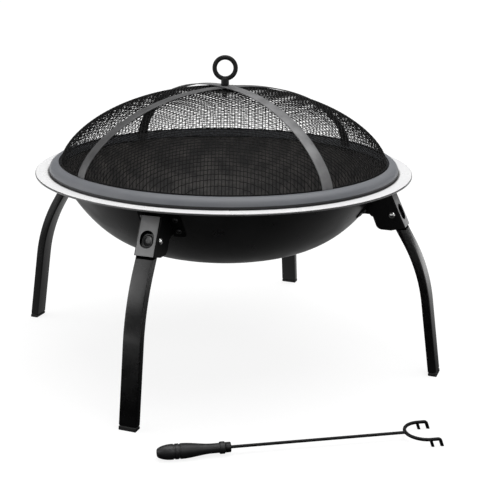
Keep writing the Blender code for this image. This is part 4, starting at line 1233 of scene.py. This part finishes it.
def build_rod():
    centre = FORK_BASE + FORK_HALF_WIDTH
    bend = arc((centre, 0), FORK_HALF_WIDTH, pi / 2, 3 * pi / 2, steps=36)
    corner_x = centre + PRONG_STRAIGHT
    side = FORK_HALF_WIDTH
    lean = PRONG_HOOK_LEAN * TINE_STOCK
    tip = (corner_x + lean, side, -TINE_DROP * TINE_STOCK)
    hook = rounded_path([(centre, side, 0), (corner_x, side, 0), tip], [PRONG_CORNER])
    near = [Vector((p.x, -p.y, p.z)) for p in hook[1:]]
    path = hook[::-1][:-1] + [Vector((spot.x, spot.y, 0)) for spot in bend] + near
    rod = wire("rod", path, FORK_WIRE_RADIUS)
    straight = [Vector((x, 0, 0)) for x in (GRIP_LENGTH - TANG_LENGTH, FORK_BASE + ROD_RADIUS / 2)]
    rod = combined(rod, "UNION", wire("straight", straight, ROD_RADIUS))
    for y in (side, -side):
        start = Vector((corner_x - TINE_BACK, y, 0))
        end = start + Vector((lean, 0, -TINE_DROP * TINE_STOCK))
        rod = combined(rod, "UNION", wire("tine", [start, end], ROD_RADIUS))
    reach = 2 * tine_reach()
    ground = prism("ground", [(-reach, 0), (reach, 0), (reach, -TINE_DROP), (-reach, -TINE_DROP)], 2 * reach)
    rod = combined(rod, "DIFFERENCE", ground, poker_matrix().inverted())
    piece("forked_rod", rod, poker_matrix(), "poker", "rod", ["poker_rod"])


def build_poker_collar():
    start = GRIP_LENGTH + GAP
    end = start + POKER_COLLAR_LENGTH
    edges = rounded_edges(POKER_COLLAR_RADIUS, start, end, GRIP_EDGE)
    profile = [(ROD_RADIUS + GAP, end), *edges, (ROD_RADIUS + GAP, start)]
    mesh = turned("poker_collar", profile, steps=48)
    piece("grip_collar", mesh, poker_matrix() @ LENGTHWISE, "poker", "collar", ["poker_collar"])


# Studio


def build_camera():
    camera = bpy.data.cameras.new("camera")
    camera.sensor_width = SENSOR
    camera.lens = FOCAL_PIXELS / FRAME_PIXELS * SENSOR
    obj = new_object("camera", camera)
    tilt = rotation(pi / 2 - CAMERA_PITCH, "X")
    obj.matrix_world = PIT @ shift(*CAMERA_PLACE) @ tilt @ rotation(CAMERA_ROLL, "Z")
    bpy.context.scene.camera = obj


def softbox(name, place, size, brightness, lights):
    """A soft panel that the camera can't see. One that doesn't light shows only in reflections."""
    light = bpy.data.lights.new(name, "AREA")
    light.shape = "RECTANGLE"
    light.size, light.size_y = size
    light.energy = brightness * pi * size[0] * size[1]
    obj = new_object(name, light)
    obj.visible_camera = False
    obj.visible_diffuse = lights
    look = Vector((0, PIT_Y, LIGHT_AIM_HEIGHT)) - Vector(place)
    turn = look.to_track_quat("-Z", "Y").to_matrix().to_4x4()
    obj.matrix_world = shift(*place) @ turn


def seen_directly(w):
    """1 where the camera sees a surface, straight or through something clear."""
    path = w.node("ShaderNodeLightPath").outputs
    return w.math("MAXIMUM", path["Is Camera Ray"], path["Is Transmission Ray"])


def floor_glow(finish, centre, limits):
    """An even glow of the floor that gets stronger with the distance from a spot on it."""
    away = finish.distance(finish.coordinates, centre)
    strength = finish.ranged(away, limits, interpolation_type="SMOOTHSTEP")
    return finish.step("ShaderNodeEmission", {"Strength": strength})


def build_floor():
    """White to the eye, with the object's soft shadow. In reflections it is dark in front and pale beyond."""
    mesh = bpy.data.meshes.new("floor")
    corners = [(x * FLOOR_HALF, y * FLOOR_HALF, 0) for x, y in ((-1, -1), (1, -1), (1, 1), (-1, 1))]
    mesh.from_pydata(corners, [], [(0, 1, 2, 3)])
    floor = new_object("floor", mesh)
    finish = Finish("pale_floor", grey(FLOOR_GREY), 0.0, FLOOR_ROUGHNESS, 0.0)
    glow = floor_glow(finish, (0, 0, 0), FLOOR_GLOW_SPREAD)
    shown = finish.mixed_shaders(FLOOR_WHITE_SHARE, finish.shader.outputs[0], glow)
    # The glow that reflections see is dimmed around a spot in front of the pit: painted shade for the pit's
    # shadow on the floor.
    reflected = floor_glow(finish, FLOOR_DARK_SPOT, FLOOR_REFLECTED)
    surface = finish.mixed_shaders(seen_directly(finish), reflected, shown)
    finish.put(surface, finish.tree.nodes["Material Output"].inputs["Surface"])
    mesh.materials.append(finish.material)


def build_studio():
    build_floor()
    world = bpy.data.worlds.new("studio")
    bpy.context.scene.world = world
    world.use_nodes = True
    w = Wiring(world.node_tree)
    soft = w.tree.nodes["Background"]
    w.put(WHITE, soft.inputs["Color"])
    w.put(AMBIENT, soft.inputs["Strength"])
    backdrop = w.step("ShaderNodeBackground", {"Color": WHITE})
    surface = w.mixed_shaders(seen_directly(w), soft.outputs[0], backdrop)
    w.put(surface, w.tree.nodes["World Output"].inputs["Surface"])
    for name, (place, size, brightness) in SOFTBOXES.items():
        softbox(name, place, size, brightness, name not in REFLECTION_ONLY)
    bpy.context.scene.view_settings.view_transform = "Standard"


def build_all():
    build_bowl()
    build_ring()
    build_cloth()
    for number, azimuth in enumerate(STRAP_AZIMUTHS, 1):
        build_strap(number, azimuth)
    build_handle()
    dress_node("dome_washer", "zinc")
    dress_node("dome_nut", "zinc")
    build_legs()
    build_bolts()
    build_rivets()
    build_grip()
    build_poker_collar()
    build_rod()


build_camera()
build_studio()
build_all()
